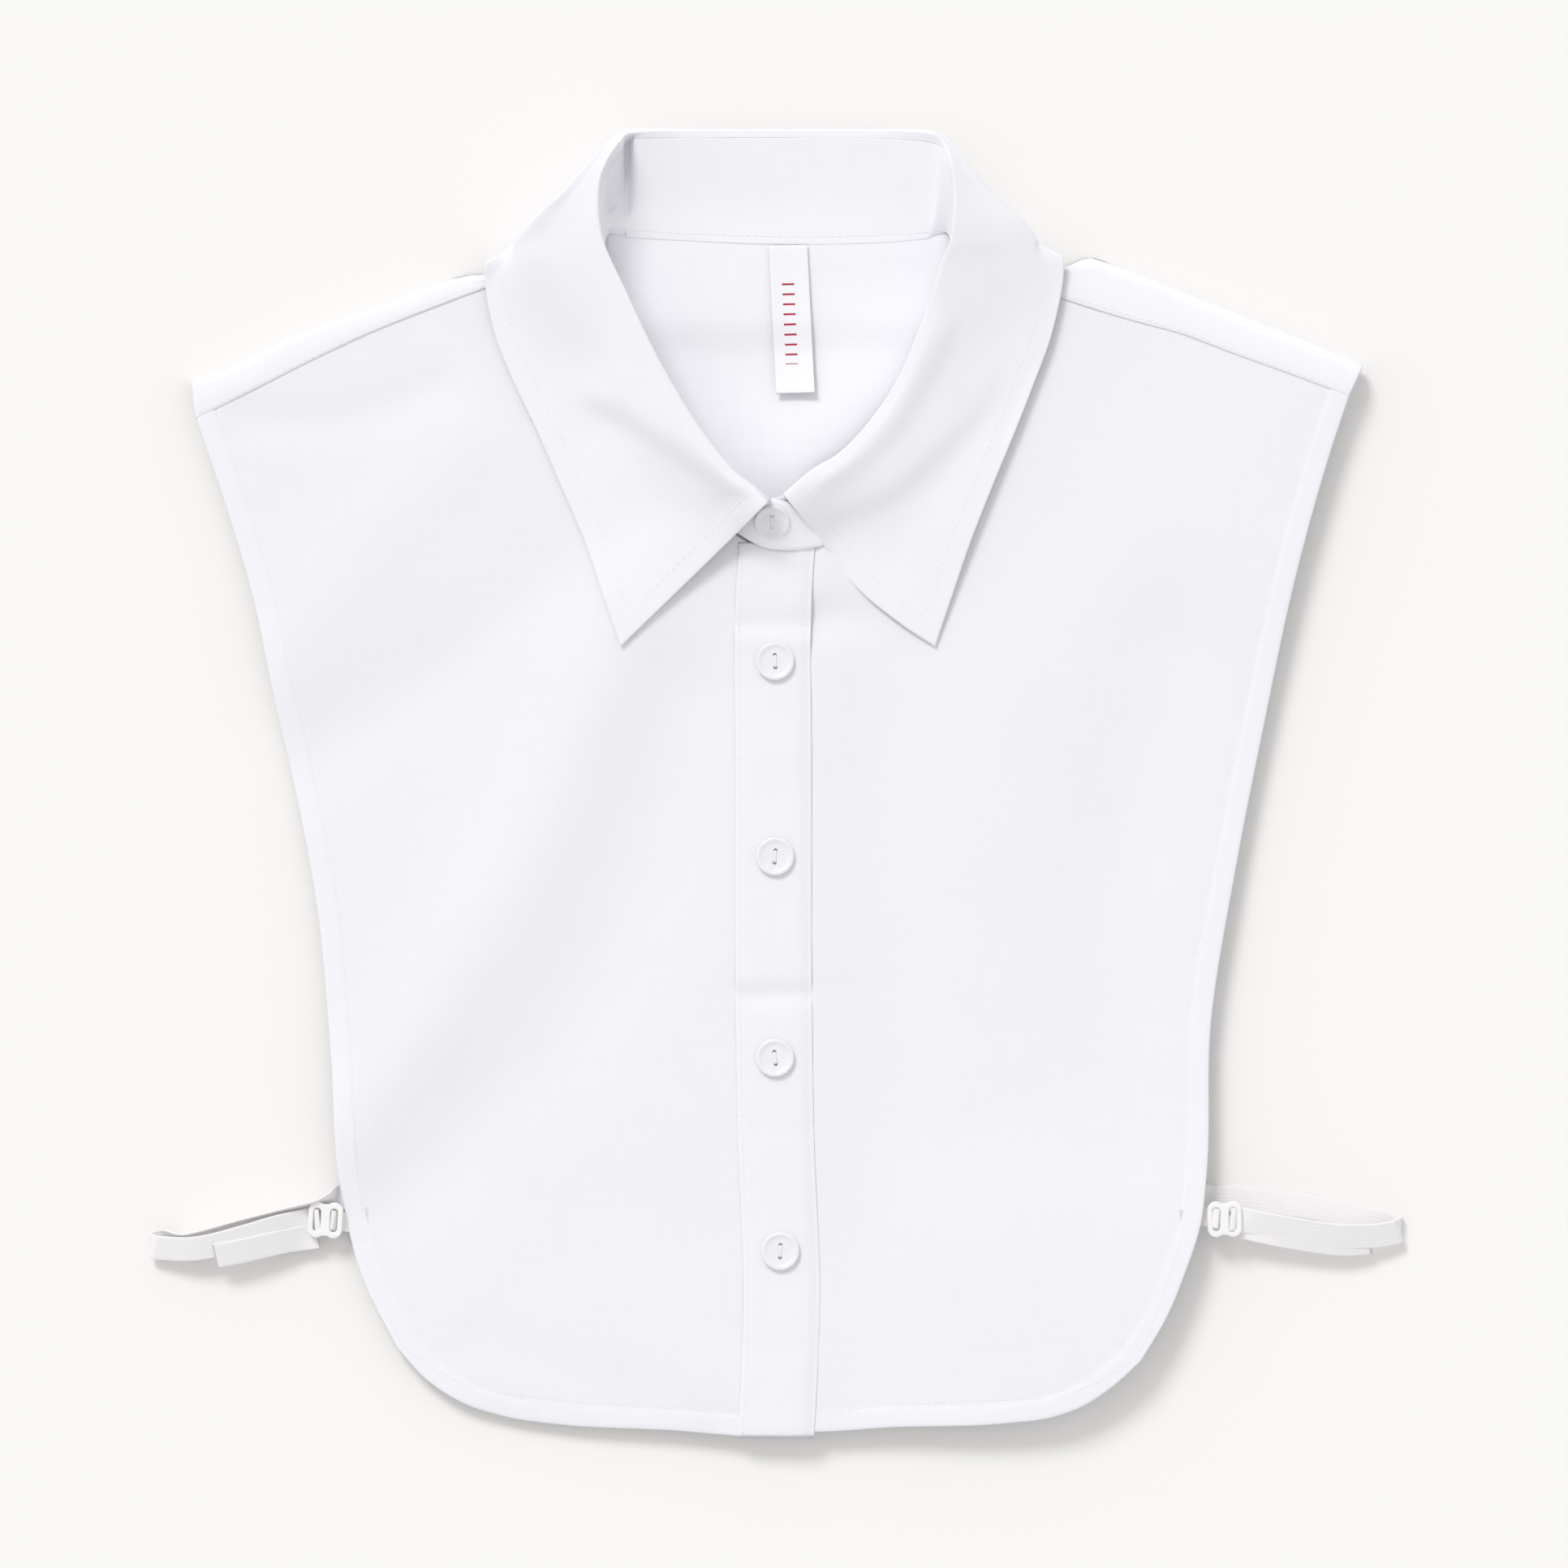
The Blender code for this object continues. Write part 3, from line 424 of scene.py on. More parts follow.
def front_height(plan, side):
    """The outer face of a front above the table, before its hem and its small ripples."""
    x, y = plan[..., 0], plan[..., 1]
    total, weights = np.zeros_like(x), np.zeros_like(x)
    for at_x, at_y, height in HEIGHTS[side]:
        weight = np.exp(-((x - at_x) ** 2 + (y - at_y) ** 2) / (2 * HEIGHT_REACH**2)) + 1e-9
        total += weight * height
        weights += weight
    height = total / weights
    for x0, y0, x1, y1, x2, y2, width, rise in FOLDS[side].values():
        height += rise * peak(distance_to(plan, smooth_line(((x0, y0), (x1, y1), (x2, y2))), 60), width)
    return height


def ripple(plan, size, seed):
    """Soft irregular waves of about this size, from -1 to 1, the same on every run."""
    draw = np.random.default_rng(seed)
    total = np.zeros(plan.shape[:-1])
    for _ in range(9):
        heading = draw.uniform(0, 2 * math.pi)
        turns = 2 * math.pi / (size * draw.uniform(0.7, 1.5))
        total += np.sin(
            turns * (plan[..., 0] * math.cos(heading) + plan[..., 1] * math.sin(heading))
            + draw.uniform(0, 2 * math.pi))
    return total / 5.0


def to_edges(plan, lines):
    return np.min([distance_to(plan, line) for line in lines], axis=0)


def hem_band(away):
    """Where the cloth is folded double, this far in from its edge."""
    return ease((HEM_STITCH + 1.0 - away) / 1.6)


def front_face(plan, side, seed, edge_lines):
    """The points of a front's outer face, and where it is folded. Its hem stands over the single cloth,
    with a groove along the sewing, which pulls small ripples."""
    away = to_edges(plan, edge_lines)
    folded = hem_band(away)
    relief = HEM_RISE * folded - HEM_GROOVE * peak(away - HEM_STITCH, 0.55)
    relief = relief + 0.1 * peak(away - HEM_STITCH, 3.6) * ripple(plan, 7.0, seed)
    height = front_height(plan, side) + relief
    height += 0.05 * ripple(plan, 34.0, seed + 1) + 0.018 * ripple(plan, 13.0, seed + 2)
    return with_height(plan, height), folded


def new_group(name, *outputs):
    """A group of shader nodes: its tree, a maker of maths nodes, the place on the cloth, and its output."""
    group = bpy.data.node_groups.new(name, "ShaderNodeTree")
    for output, kind in outputs:
        group.interface.new_socket(output, in_out="OUTPUT", socket_type=kind)
    place = add_node(group, "UVMap", uv_map="cut_cloth").outputs[0]
    axes = add_node(group, "SeparateXYZ", {0: place}).outputs

    def maths(operation, *values):
        return add_node(group, "Math", enumerate(values), operation=operation).outputs[0]

    return group, maths, place, axes, group.nodes.new("NodeGroupOutput")


def plain_weave():
    """Node group: poplin's fine crossing yarns, with thicker ones here and there, and its cloudy tone."""
    group, maths, place, (x, y, _), out = new_group(
        "plain_weave", ("Colour", "NodeSocketColor"), ("Height", "NodeSocketFloat"))
    for name, kind, value in (
        ("Cloth", "NodeSocketColor", (0.82, 0.81, 0.85, 1)),
        ("Doubled cloth and painted light", "NodeSocketColor", (0.84, 0.83, 0.87, 1)),
        ("Yarns per metre", "NodeSocketFloat", 3400.0),
    ):
        group.interface.new_socket(name, in_out="INPUT", socket_type=kind).default_value = value
    given = group.nodes.new("NodeGroupInput").outputs
    turn = maths("MULTIPLY", given["Yarns per metre"], math.pi)
    warp = maths("MULTIPLY", x, turn)
    weft = maths("MULTIPLY", y, maths("MULTIPLY", turn, 0.82))
    over = maths("MULTIPLY", maths("MULTIPLY", maths("COSINE", warp), maths("COSINE", weft)), 0.4)
    warp_high = maths("MULTIPLY", maths("ABSOLUTE", maths("SINE", warp)), maths("ADD", 0.6, over))
    weft_high = maths("MULTIPLY", maths("ABSOLUTE", maths("SINE", weft)), maths("SUBTRACT", 0.6, over))
    crossing = maths("MAXIMUM", warp_high, weft_high)

    def streaks(stretch, scale):
        at = add_node(group, "Mapping", {"Vector": place, "Scale": stretch}).outputs[0]
        return add_node(group, "TexNoise", {"Vector": at, "Scale": scale, "Detail": 3.0}).outputs["Fac"]

    slub = maths("ADD", streaks((1, 0.06, 1), 900), streaks((0.06, 1, 1), 760))
    tone = maths("ADD", maths("MULTIPLY", maths("SUBTRACT", slub, 1.0), 0.03),
                 maths("MULTIPLY", maths("SUBTRACT", streaks((1, 1, 1), 24), 0.5), 0.022))
    tone = maths("ADD", maths("ADD", tone, 1.0), maths("MULTIPLY", maths("SUBTRACT", crossing, 0.6), 0.03))
    # The lighter tone where the mesh is marked folded: doubled cloth on the hems, painted light on the collar
    # stand and leaf.
    doubled_and_painted_light = add_node(group, "Attribute", attribute_name="folded").outputs["Fac"]
    colour = between(group, doubled_and_painted_light, given["Cloth"], given["Doubled cloth and painted light"])
    shaded = add_node(group, "VectorMath", operation="SCALE")
    feed(shaded, {0: colour, "Scale": tone})
    feed(out, {"Colour": shaded.outputs[0], "Height": maths("ADD", crossing, maths("MULTIPLY", slub, 0.5))})
    return group


PLAIN_WEAVE = plain_weave()


def poplin(name, cloth, doubled_and_painted_light):
    """White cotton poplin, matt, with a faint bloom at low angles."""
    made = new_finish(name, {
        "Roughness": 0.9, "Specular IOR Level": 0.2, "Sheen Weight": 0.06, "Sheen Roughness": 0.5})
    weave = add_node(made.node_tree, "Group", node_tree=PLAIN_WEAVE)
    feed(weave, {"Cloth": (*cloth, 1), "Doubled cloth and painted light": (*doubled_and_painted_light, 1)})
    feed(made.node_tree.nodes["Principled BSDF"], {"Base Color": weave.outputs["Colour"]})
    roughen(made, weave.outputs["Height"], 0.000035, 0.5)
    return made


def lay_cloth(node, face, wall, finish, **shape):
    """Adds a cloth piece in place of the plain solid of this name."""
    name = f"{node}_cloth"
    return set_down(name, cloth_mesh(name, face, wall, **shape), finish, node)


FRONT_POPLIN = poplin("front_poplin", (0.809, 0.800, 0.840), (0.826, 0.817, 0.858))
SINGLE_WALL, HEM_WALL = 0.5, 0.4                       # one layer, and what the turned hem adds

left_plan = panel_plan(
    HEM_LEFT, end_to_end(SEAM_LEFT, NECKLINE_LEFT, 9 / 21), ARMHOLE_LEFT, FRONT_EDGE, HEM_STEPS, SEAM_STEPS)
left_face, left_folded = front_face(left_plan, "left", 11, (HEM_LEFT, ARMHOLE_LEFT))
front_left = lay_cloth(
    "front_left", left_face, SINGLE_WALL + HEM_WALL * left_folded, FRONT_POPLIN, folded=left_folded)
sewn_row("hem_sewing_left", left_face[7, :6:-1])
sewn_row("armhole_sewing_left", left_face[8:-2, 7])
bartack("bartack_left", left_face, -126.1, -133.0, 2.6, 1.66)

right_plan = panel_plan(
    HEM_RIGHT, end_to_end(smooth_line(NECKLINE_RIGHT(np.linspace(1, 0, 60))),
                          smooth_line(SEAM_RIGHT(np.linspace(1, 0, 40))), 11 / 20),
    HIDDEN_EDGE, ARMHOLE_RIGHT, SEAM_STEPS, HEM_STEPS)
right_face, right_folded = front_face(right_plan, "right", 21, (HEM_RIGHT, ARMHOLE_RIGHT))
# It swells up against the closing edge, which gapes at one place on the chest.
EDGE_SOFTNESS, SWELL_REACH, GAPE_AT, GAPE_HALF, UNDER_EDGE = 2.6, 17.0, 51.5, 6.5, 0.30
closing = CLOSING_EDGE(np.linspace(0, 1, 240))
past_edge = right_plan[..., 0] - np.interp(right_plan[..., 1], closing[:, 1], closing[:, 0])
swell = ease((past_edge + EDGE_SOFTNESS) / EDGE_SOFTNESS) * peak(np.maximum(past_edge, 0), SWELL_REACH)
swell *= 1 - 0.97 * peak(right_plan[..., 1] - GAPE_AT, GAPE_HALF)
edge_plan = np.stack([right_plan[..., 0] - past_edge, right_plan[..., 1]], axis=-1)
against = front_height(edge_plan, "left") - UNDER_EDGE
right_face[..., 2] += swell * np.maximum(against - right_face[..., 2], 0)
front_right = lay_cloth(
    "front_right", right_face, SINGLE_WALL + HEM_WALL * right_folded, FRONT_POPLIN, folded=right_folded)
sewn_row("hem_sewing_right", right_face[7, 16:-7])
sewn_row("armhole_sewing_right", right_face[8:-2, -8])
bartack("bartack_right", right_face, 125.0, -133.4, 2.6, 1.6)


# ------------------------------------------------------------------ the placket
# A strip of the same poplin, interlined, sewn down both of its sides along the upper front's closing edge.
# It lies a little proud of the front, and its long edges are turned under.

PLACKET_WIDTH = 23.5
PLACKET_CREASES = (            # across the strip: height above the hem end, half the width, and the height
    (49.0, 2.6, -0.42), (44.5, 3.4, 0.25), (-64.8, 2.4, -0.4), (-60.0, 3.2, 0.2), (-107.0, 3.0, -0.16),
    (10.0, 5.0, 0.14), (-175.0, 4.0, -0.15),
)
CLOSING_DROOP = 0.8            # the folded edge turns down to the front under it
PLACKET_RISE = 0.85            # the strip over the front

placket_rows = CLOSING_EDGE(np.linspace(0, 1, 190))
placket_rows = np.concatenate((placket_rows, placket_rows[-1] + np.array(((0, 0.8), (0, 1.6), (0, 2.2)))))
placket_steps = np.concatenate((
    (0, 0.1, 0.32, 0.8, 1.3, 1.8, 2.5), np.linspace(3.9, 19.6, 12),
    (21.0, 21.9, 22.5, 22.9, 23.18, 23.4, 23.5),
)) - PLACKET_WIDTH
placket_plan = placket_rows[:, None] + np.stack([placket_steps, 0 * placket_steps], axis=-1)[None]
placket_top = front_height(placket_plan, "left") + PLACKET_RISE
for at_y, width, height in PLACKET_CREASES:
    placket_top += height * peak(placket_plan[..., 1] - at_y, width)
placket_top -= CLOSING_DROOP * peak(placket_steps, 2.6)
for from_edge, groove in ((22.0, 0.14), (1.5, 0.10)):  # along the two rows of sewing
    placket_top -= groove * peak(placket_steps + from_edge, 0.5)
placket_top += 0.045 * ripple(placket_plan, 15.0, 31) + 0.05 * ripple(placket_plan, 40.0, 32)
placket_top -= 0.4 * peak(placket_steps + PLACKET_WIDTH, 0.55)
placket_face = with_height(placket_plan, placket_top)
# Thinner where it is folded, at both of its long edges.
placket_wall = 0.34 + 0.46 * ease(-placket_steps / 1.3) * ease((placket_steps + PLACKET_WIDTH) / 1.3)
PLACKET_POPLIN = poplin("placket_poplin", (0.822, 0.813, 0.852), (0.822, 0.813, 0.852))
placket = lay_cloth("placket", placket_face, placket_wall[None], PLACKET_POPLIN)
sewn_row("placket_sewing_inner", 0.6 * placket_face[:, 4] + 0.4 * placket_face[:, 5])
sewn_row("placket_sewing_outer", placket_face[:, 20])


# ------------------------------------------------------------------ the back panel
# One panel of the same poplin under the two fronts. It comes forward over each shoulder and is sewn to the
# front along a seam; its armholes and hem are turned under like the fronts', and the neck is cut out.

FOLD_LEFT = smooth_line((
    (-180, 124.5), (-171.8, 127), (-146.5, 139), (-119.5, 148.5), (-97.5, 156.2), (-87, 157.0),
    (-71, 163.8), (-54.6, 171.3),
))
FOLD_RIGHT = smooth_line((
    (181.3, 129.3), (171, 133.8), (149, 142.5), (129, 150.5), (106.3, 159.4), (96, 162.0),
    (87.5, 158.6), (73, 163.5), (57.6, 172),
))
BACK_ARMHOLE_LEFT = smooth_line((
    (-113, -170), (-123.5, -150), (-130.5, -124), (-133.5, -83), (-138, -36), (-145.5, 2),
    (-151, 26), (-157.5, 56.8), (-167.2, 87.5), (-176.8, 111), (-180, 124.5),
))
BACK_ARMHOLE_RIGHT = smooth_line((
    (109.5, -173.5), (117, -162), (122.5, -149), (127.5, -135), (129.3, -121), (131, -73.5),
    (138, -28.5), (147, 16.5), (158, 66.5), (168.8, 103.8), (177.8, 121), (181.3, 129.3),
))
BACK_HEM = smooth_line((
    (-113, -170), (-104, -179.5), (-92, -187), (-67, -193), (0, -195.5), (67, -192.5), (84, -190.5),
    (100, -182.5), (109.5, -173.5),
))
BACK_NECKLINE = smooth_line((
    (-53.6, 170.9), (-50.2, 170.6), (-46.9, 170.0), (-43.8, 169.4), (-22, 168.1), (4, 167.2),
    (30, 167.7), (45.6, 168.8), (49, 170.0), (52.6, 171.0), (56.6, 171.6),
))
COLLAR_UNDER_BACK, HEM_DRAWN_IN = 1.8, 0.26            # how far each lifts the back off the table
COLLAR_HALF, COLLAR_LOW, COLLAR_FADE = 104, 132, 12    # where the collar's hidden part lies under it
SHOULDER_GAP, SHOULDER_SEAM = 0.35, 0.45               # over the front, at the fold and at the seam
BILLOW, BILLOW_TOP, BILLOW_FADE = 6.0, 160.0, 44.0
# Inside the neck the back billows up along this line, beside the collar's right half.
NECK_SWELL = smooth_line((
    (50.2, 160), (46.4, 148.3), (41.9, 136.2), (36.1, 123.7), (28.1, 111.8), (19.3, 102.6), (10.8, 97.3),
))


def back_height(plan):
    """The underside of the back: on the table, and over the collar's hidden part near the neck."""
    x, y = plan[..., 0], plan[..., 1]
    over_collar = COLLAR_UNDER_BACK * ease((x + COLLAR_HALF) / COLLAR_FADE)
    over_collar = over_collar * ease((COLLAR_HALF - x) / COLLAR_FADE) * ease((y - COLLAR_LOW) / COLLAR_FADE)
    line = NECK_SWELL(np.linspace(0, 1, 60))
    past = x - np.interp(y, line[::-1, 1], line[::-1, 0])
    width = 5.0 + 19.0 * ease((1.5 - past) / 5.0)
    beside_line = peak(distance_to(plan, NECK_SWELL, 60), width)
    return over_collar + BILLOW * (beside_line * ease((BILLOW_TOP - y) / BILLOW_FADE))


def shoulder_strip(fold, seam, side):
    """The back's outer face over one shoulder: round the fold and down over the front's upper edge."""
    fold, seam = fold(shoulder_shares), seam(shoulder_shares)
    down = unit(seam - fold)
    low = back_height(fold)
    top = front_height(seam, side) + SHOULDER_GAP
    radius = (top - low) / 2
    rows = []
    for turn in np.linspace(0, math.pi, 15):
        plan = fold + down * (radius * (1 - math.sin(turn)))[:, None]
        rows.append(with_height(plan, low + radius * (1 - math.cos(turn))))
    start, end = rows[-1][:, :2], seam + down * 0.9
    for share in (0.15, 0.3, 0.45, 0.6, 0.75, 0.86, 0.93, 0.97, 1.0):
        plan = start + (end - start) * share
        crown = 0.25 * math.sin(math.pi * share)
        droop = 0.1 * max(0.0, share - 0.9)
        height = (1 - share) * top + share * (front_height(plan, side) + SHOULDER_SEAM) + crown - droop
        rows.append(with_height(plan, height))
    return np.array(rows)


shoulder_shares = steps_between(1.0, (0, 0.0012, 0.003, 0.012), (0, 0.0012, 0.003, 0.012), 0.024)
over_left = shoulder_strip(FOLD_LEFT, SEAM_LEFT, "left")
over_right = shoulder_strip(FOLD_RIGHT, SEAM_RIGHT, "right")[:, ::-1]
neck_run = BACK_NECKLINE(np.linspace(0, 1, 44))
neck_run[0], neck_run[-1] = over_left[0, -1, :2], over_right[0, 0, :2]
back_top = np.concatenate((over_left[0, :, :2], neck_run[1:-1], over_right[0, :, :2]))
back_shares = steps_between(1.0, (0, 0.0006, 0.002, 0.008), (0, 0.0012, 0.004, 0.010), 0.0085)
across_shares = np.linspace(0, 1, len(back_top))
back_plan = spanned(BACK_HEM(across_shares), back_top, BACK_ARMHOLE_LEFT(back_shares),
                    BACK_ARMHOLE_RIGHT(back_shares), across_shares, back_shares)
back_rim = to_edges(back_plan, (BACK_HEM, BACK_ARMHOLE_LEFT, BACK_ARMHOLE_RIGHT))
back_under = back_height(back_plan) + 0.12 * np.abs(ripple(back_plan, 26.0, 42))
# The sewing pulls the hem in a little, up off the table.
back_under += HEM_DRAWN_IN * peak(back_rim - HEM_STITCH, 0.9)
back_flat = with_height(back_plan, back_under)
# The panel and its two shoulder strips are one grid, with the cells between the strips left out.
strip, above = len(shoulder_shares), len(over_left) - 1
across_neck = np.tile(back_flat[-1, strip:-strip], (above, 1, 1))
back_strips = np.concatenate((over_left[1:], across_neck, over_right[1:]), axis=1)
back_face = np.concatenate((back_flat, back_strips))
neck_hole = np.zeros((len(back_face) - 1, len(back_top) - 1), bool)
neck_hole[-above:, strip - 1:1 - strip] = True
back_folded = np.concatenate((hem_band(back_rim), np.zeros((above, len(back_top)))))
back_grain = back_face[..., :2].copy()
back_grain[-above:, :, 1] = back_grain[-above - 1, :, 1] + 2.4 * np.arange(1, above + 1)[:, None]
BACK_POPLIN = poplin("back_poplin", (0.845, 0.835, 0.872), (0.85, 0.84, 0.88))
back = lay_cloth("back_panel", back_face, SINGLE_WALL + HEM_WALL * back_folded, BACK_POPLIN, grain=back_grain,
                 outer_down=True, left_out=neck_hole, folded=back_folded)
sewn_row("shoulder_sewing_left", over_left[-4, 2:-2])
sewn_row("shoulder_sewing_right", over_right[-4, 2:-2])


# ------------------------------------------------------------------ the collar stand
# A band of two layers of poplin with an interlining, sewn to the neckline all round. Its two ends lap at
# the front, where one button holds them; at the back it leans flat, with one sharp fold at the left.

# Stations round the neck, from the upper end over the left shoulder and the back to the lower end: the
# stand's foot on the neck seam, and its top.
STAND = {
    "end_upper_1": ((15.4, 73.4, 7.8), (15.8, 80.4, 9.7)),
    "end_upper_2": ((6.0, 72.0, 9.3), (5.4, 86.2, 15.6)),
    "left_0": ((-1.0, 72.3, 9.5), (-1.4, 87.8, 16.3)),
    "left_1": ((-5.5, 73.7, 9.5), (-5.4, 91.0, 17.2)),
    "left_2": ((-12.0, 77.8, 8.45), (-12.4, 96.6, 17.6)),
    "left_3": ((-21.5, 86.8, 7.0), (-21.6, 107.8, 17.2)),
    "left_4": ((-31.5, 100.2, 6.6), (-30.4, 121.0, 18.0)),
    "left_5": ((-40.6, 117.0, 6.0), (-38.8, 135.8, 18.4)),
    "left_6": ((-47.6, 136.0, 5.6), (-46.8, 152.4, 18.6)),
    "left_7": ((-51.0, 150.5, 5.4), (-52.2, 163.6, 18.6)),
    "left_8": ((-52.2, 160.5, 5.2), (-53.6, 171.2, 18.6)),
    "left_9": ((-52.4, 166.4, 3.8), (-53.5, 178.4, 18.4)),
    "left_10": ((-51.4, 169.6, 2.8), (-52.6, 184.2, 18.8)),
    "left_11": ((-49.0, 169.7, 2.5), (-50.4, 189.4, 18.4)),
    "left_12": ((-46.4, 169.2, 2.5), (-47.0, 194.2, 17.2)),
    "left_13": ((-43.6, 168.6, 2.50), (-43.4, 198.2, 12.6)),
    "back_left": ((-22.0, 167.4, 2.50), (-22.2, 198.8, 10.2)),
    "back_middle": ((4.0, 166.5, 2.50), (4.0, 199.0, 9.6)),
    "back_right": ((30.0, 167.0, 2.50), (30.4, 198.8, 10.0)),
    "right_13": ((45.5, 168.1, 2.50), (48.6, 197.0, 12.0)),
    "right_12": ((48.6, 169.2, 2.5), (51.8, 192.2, 16.2)),
    "right_11": ((51.2, 169.9, 2.5), (53.4, 187.0, 17.4)),
    "right_10": ((53.0, 170.0, 3.0), (54.4, 181.0, 18.2)),
    "right_9": ((54.2, 167.0, 4.2), (55.0, 173.3, 18.6)),
    "right_8": ((54.4, 161.6, 5.8), (54.3, 166.2, 18.2)),
    "right_7": ((53.2, 153.8, 6.0), (51.8, 159.8, 16.8)),
    "right_6": ((50.6, 142.9, 6.2), (48.1, 147.8, 15.4)),
    "right_5": ((45.9, 130.2, 6.2), (43.5, 135.6, 14.4)),
    "right_4": ((39.0, 115.8, 6.0), (37.7, 122.8, 13.6)),
    "right_3": ((29.9, 101.7, 5.8), (29.5, 110.7, 13.2)),
    "right_2": ((19.9, 89.1, 5.6), (20.5, 101.0, 13.2)),
    "right_1": ((11.2, 79.4, 5.4), (11.7, 95.6, 13.4)),
    "right_0": ((3.8, 74.6, 5.3), (3.0, 89.0, 13.4)),
    "end_lower_2": ((-3.0, 73.8, 4.9), (-3.6, 87.6, 10.6)),
    "end_lower_1": ((-9.0, 75.4, 4.4), (-8.5, 86.0, 8.8)),
}


def smooth_rows(given, steps, knots=None):
    """Rows of points through the given rows, with this many steps from each one to the next."""
    given = np.asarray(given, float)
    knots = np.arange(len(given), dtype=float) if knots is None else knots
    gaps = np.diff(knots).reshape((-1,) + (1,) * (given.ndim - 1))
    strides = np.diff(given, axis=0)
    slopes = np.concatenate((strides[:1] / gaps[:1], (strides[1:] + strides[:-1]) / (gaps[1:] + gaps[:-1]),
                             strides[-1:] / gaps[-1:]))
    at = np.linspace(0, len(given) - 1, (len(given) - 1) * steps + 1)
    return curve_between(given, slopes, knots, np.interp(at, np.arange(len(given)), knots))


POCKET_DEPTH, POCKET_FLOOR = 7.6, 3.0
POCKET_LEFT, POCKET_RIGHT, POCKET_START = -53.4, -43.9, 172.0


def pocket(points):
    """How far the stand drops to the left of its sharp fold, behind the roll."""
    x, y, z = points[..., 0], points[..., 1], points[..., 2]
    across = ease((POCKET_RIGHT - x) / 1.3) * ease((x - POCKET_LEFT) / 2.4)
    along = ease((y - POCKET_START) / 6.0)
    return np.minimum(POCKET_DEPTH, np.maximum(z - POCKET_FLOOR, 0)) * across * along


def surface_grain(points):
    """The place of each point on the flat cloth, measured along the piece itself."""
    across = np.linalg.norm(np.diff(points, axis=1), axis=-1)
    along = np.linalg.norm(np.diff(points, axis=0), axis=-1)
    x = np.concatenate((np.zeros((len(points), 1)), np.cumsum(across, axis=1)), axis=1)
    y = np.concatenate((np.zeros((1, points.shape[1])), np.cumsum(along, axis=0)))
    return np.stack((x.mean(axis=0)[None] + 0 * x, y), axis=-1)


stand_shares = np.array((
    0, 0.0015, 0.006, 0.02, 0.06, 0.1, 0.2, 0.32, 0.44, 0.56, 0.68, 0.8, 0.9, 0.95, 0.985, 0.9985, 1.0))
stand_sections = [
    [np.array(foot) * (1 - share) + np.array(top) * share for share in stand_shares]
    for foot, top in STAND.values()
]
stand_face = smooth_rows(stand_sections, 6).transpose(1, 0, 2)
stand_face[..., 2] -= 0.08 * peak(stand_shares - 0.075, 0.02)[:, None] + pocket(stand_face)
stand_face[..., 2] += 0.10 * ripple(stand_face[..., :2], 17.0, 51)
# Towards its foot it is painted whiter still, as painted light against the shade in the neck's hollow; the
# seam's turned-in layers lie there too.
stand_foot_painted_light = np.tile(ease((0.62 - stand_shares) / 0.5)[:, None], (1, stand_face.shape[1]))
# It thins out at its foot and at its top, where it goes into the seams.
stand_wall = (0.12 + 0.78 * ease((1 - stand_shares) / 0.05) * ease((stand_shares + 0.01) / 0.06))[:, None]
# The stand's poplin is painted lighter than the leaf's and the fronts', as painted light that makes up for
# the shade on its slope.
STAND_POPLIN_PAINTED_LIGHTER = poplin("stand_poplin_painted_light", (0.872, 0.862, 0.90), (0.915, 0.905, 0.94))
stand = lay_cloth("collar_stand", stand_face, stand_wall, STAND_POPLIN_PAINTED_LIGHTER,
                  grain=surface_grain(stand_face), folded=stand_foot_painted_light)
sewn_row("stand_sewing", 0.6 * stand_face[4, 4:-4] + 0.4 * stand_face[5, 4:-4])


# ------------------------------------------------------------------ the collar leaf
# The turned-down collar: two layers of poplin with an interlining, its edges turned in and its two points
# pressed. It is sewn to the stand's top, rolls over, and at the back turns under the shoulders.

# On a front: the roll, the free edge seen from above, how far that edge stands over the front, and how
# far the line between them bows sideways.
LEAF_ON_FRONT = {
    "left_0": ((-2.4, 86.0, 24.0), (-47.5, 42.3), 1.5, 0.0),
    "left_1": ((-6.5, 90.6, 23.4), (-53.0, 58.0), 1.7, 0.0),
    "left_2": ((-13.2, 96.2, 22.8), (-58.6, 74.5), 1.7, 0.0),
    "left_3": ((-21.9, 107.2, 22.2), (-66.5, 93.0), 1.7, 0.0),
    "left_4": ((-30.2, 120.2, 22.0), (-73.5, 109.0), 1.7, 0.0),
    "left_5": ((-38.4, 135.2, 22.4), (-80.0, 122.5), 1.9, 0.0),
    "left_6": ((-46.3, 152.2, 22.6), (-86.2, 138.0), 2.4, 0.0),
    "left_7": ((-51.6, 163.5, 22.6), (-89.2, 152.6), 3.0, 2.0),
    "right_7": ((51.0, 160.0, 18.9), (88.5, 153.6), 3.4, -2.0),
    "right_6": ((47.3, 148.0, 18.0), (84.9, 137.5), 3.4, 0.0),
    "right_5": ((42.8, 135.9, 17.6), (79.6, 123.0), 3.4, 0.0),
    "right_4": ((37.0, 123.2, 16.8), (73.9, 108.5), 3.4, 0.0),
    "right_3": ((28.9, 111.2, 16.4), (67.3, 92.5), 3.4, 0.0),
    "right_2": ((19.9, 101.8, 16.4), (60.4, 75.0), 3.2, 1.0),
    "right_1": ((11.3, 96.5, 16.8), (54.6, 58.0), 2.2, 2.5),
    "right_0": ((2.6, 88.8, 17.8), (49.3, 42.3), 1.4, 4.2),
}
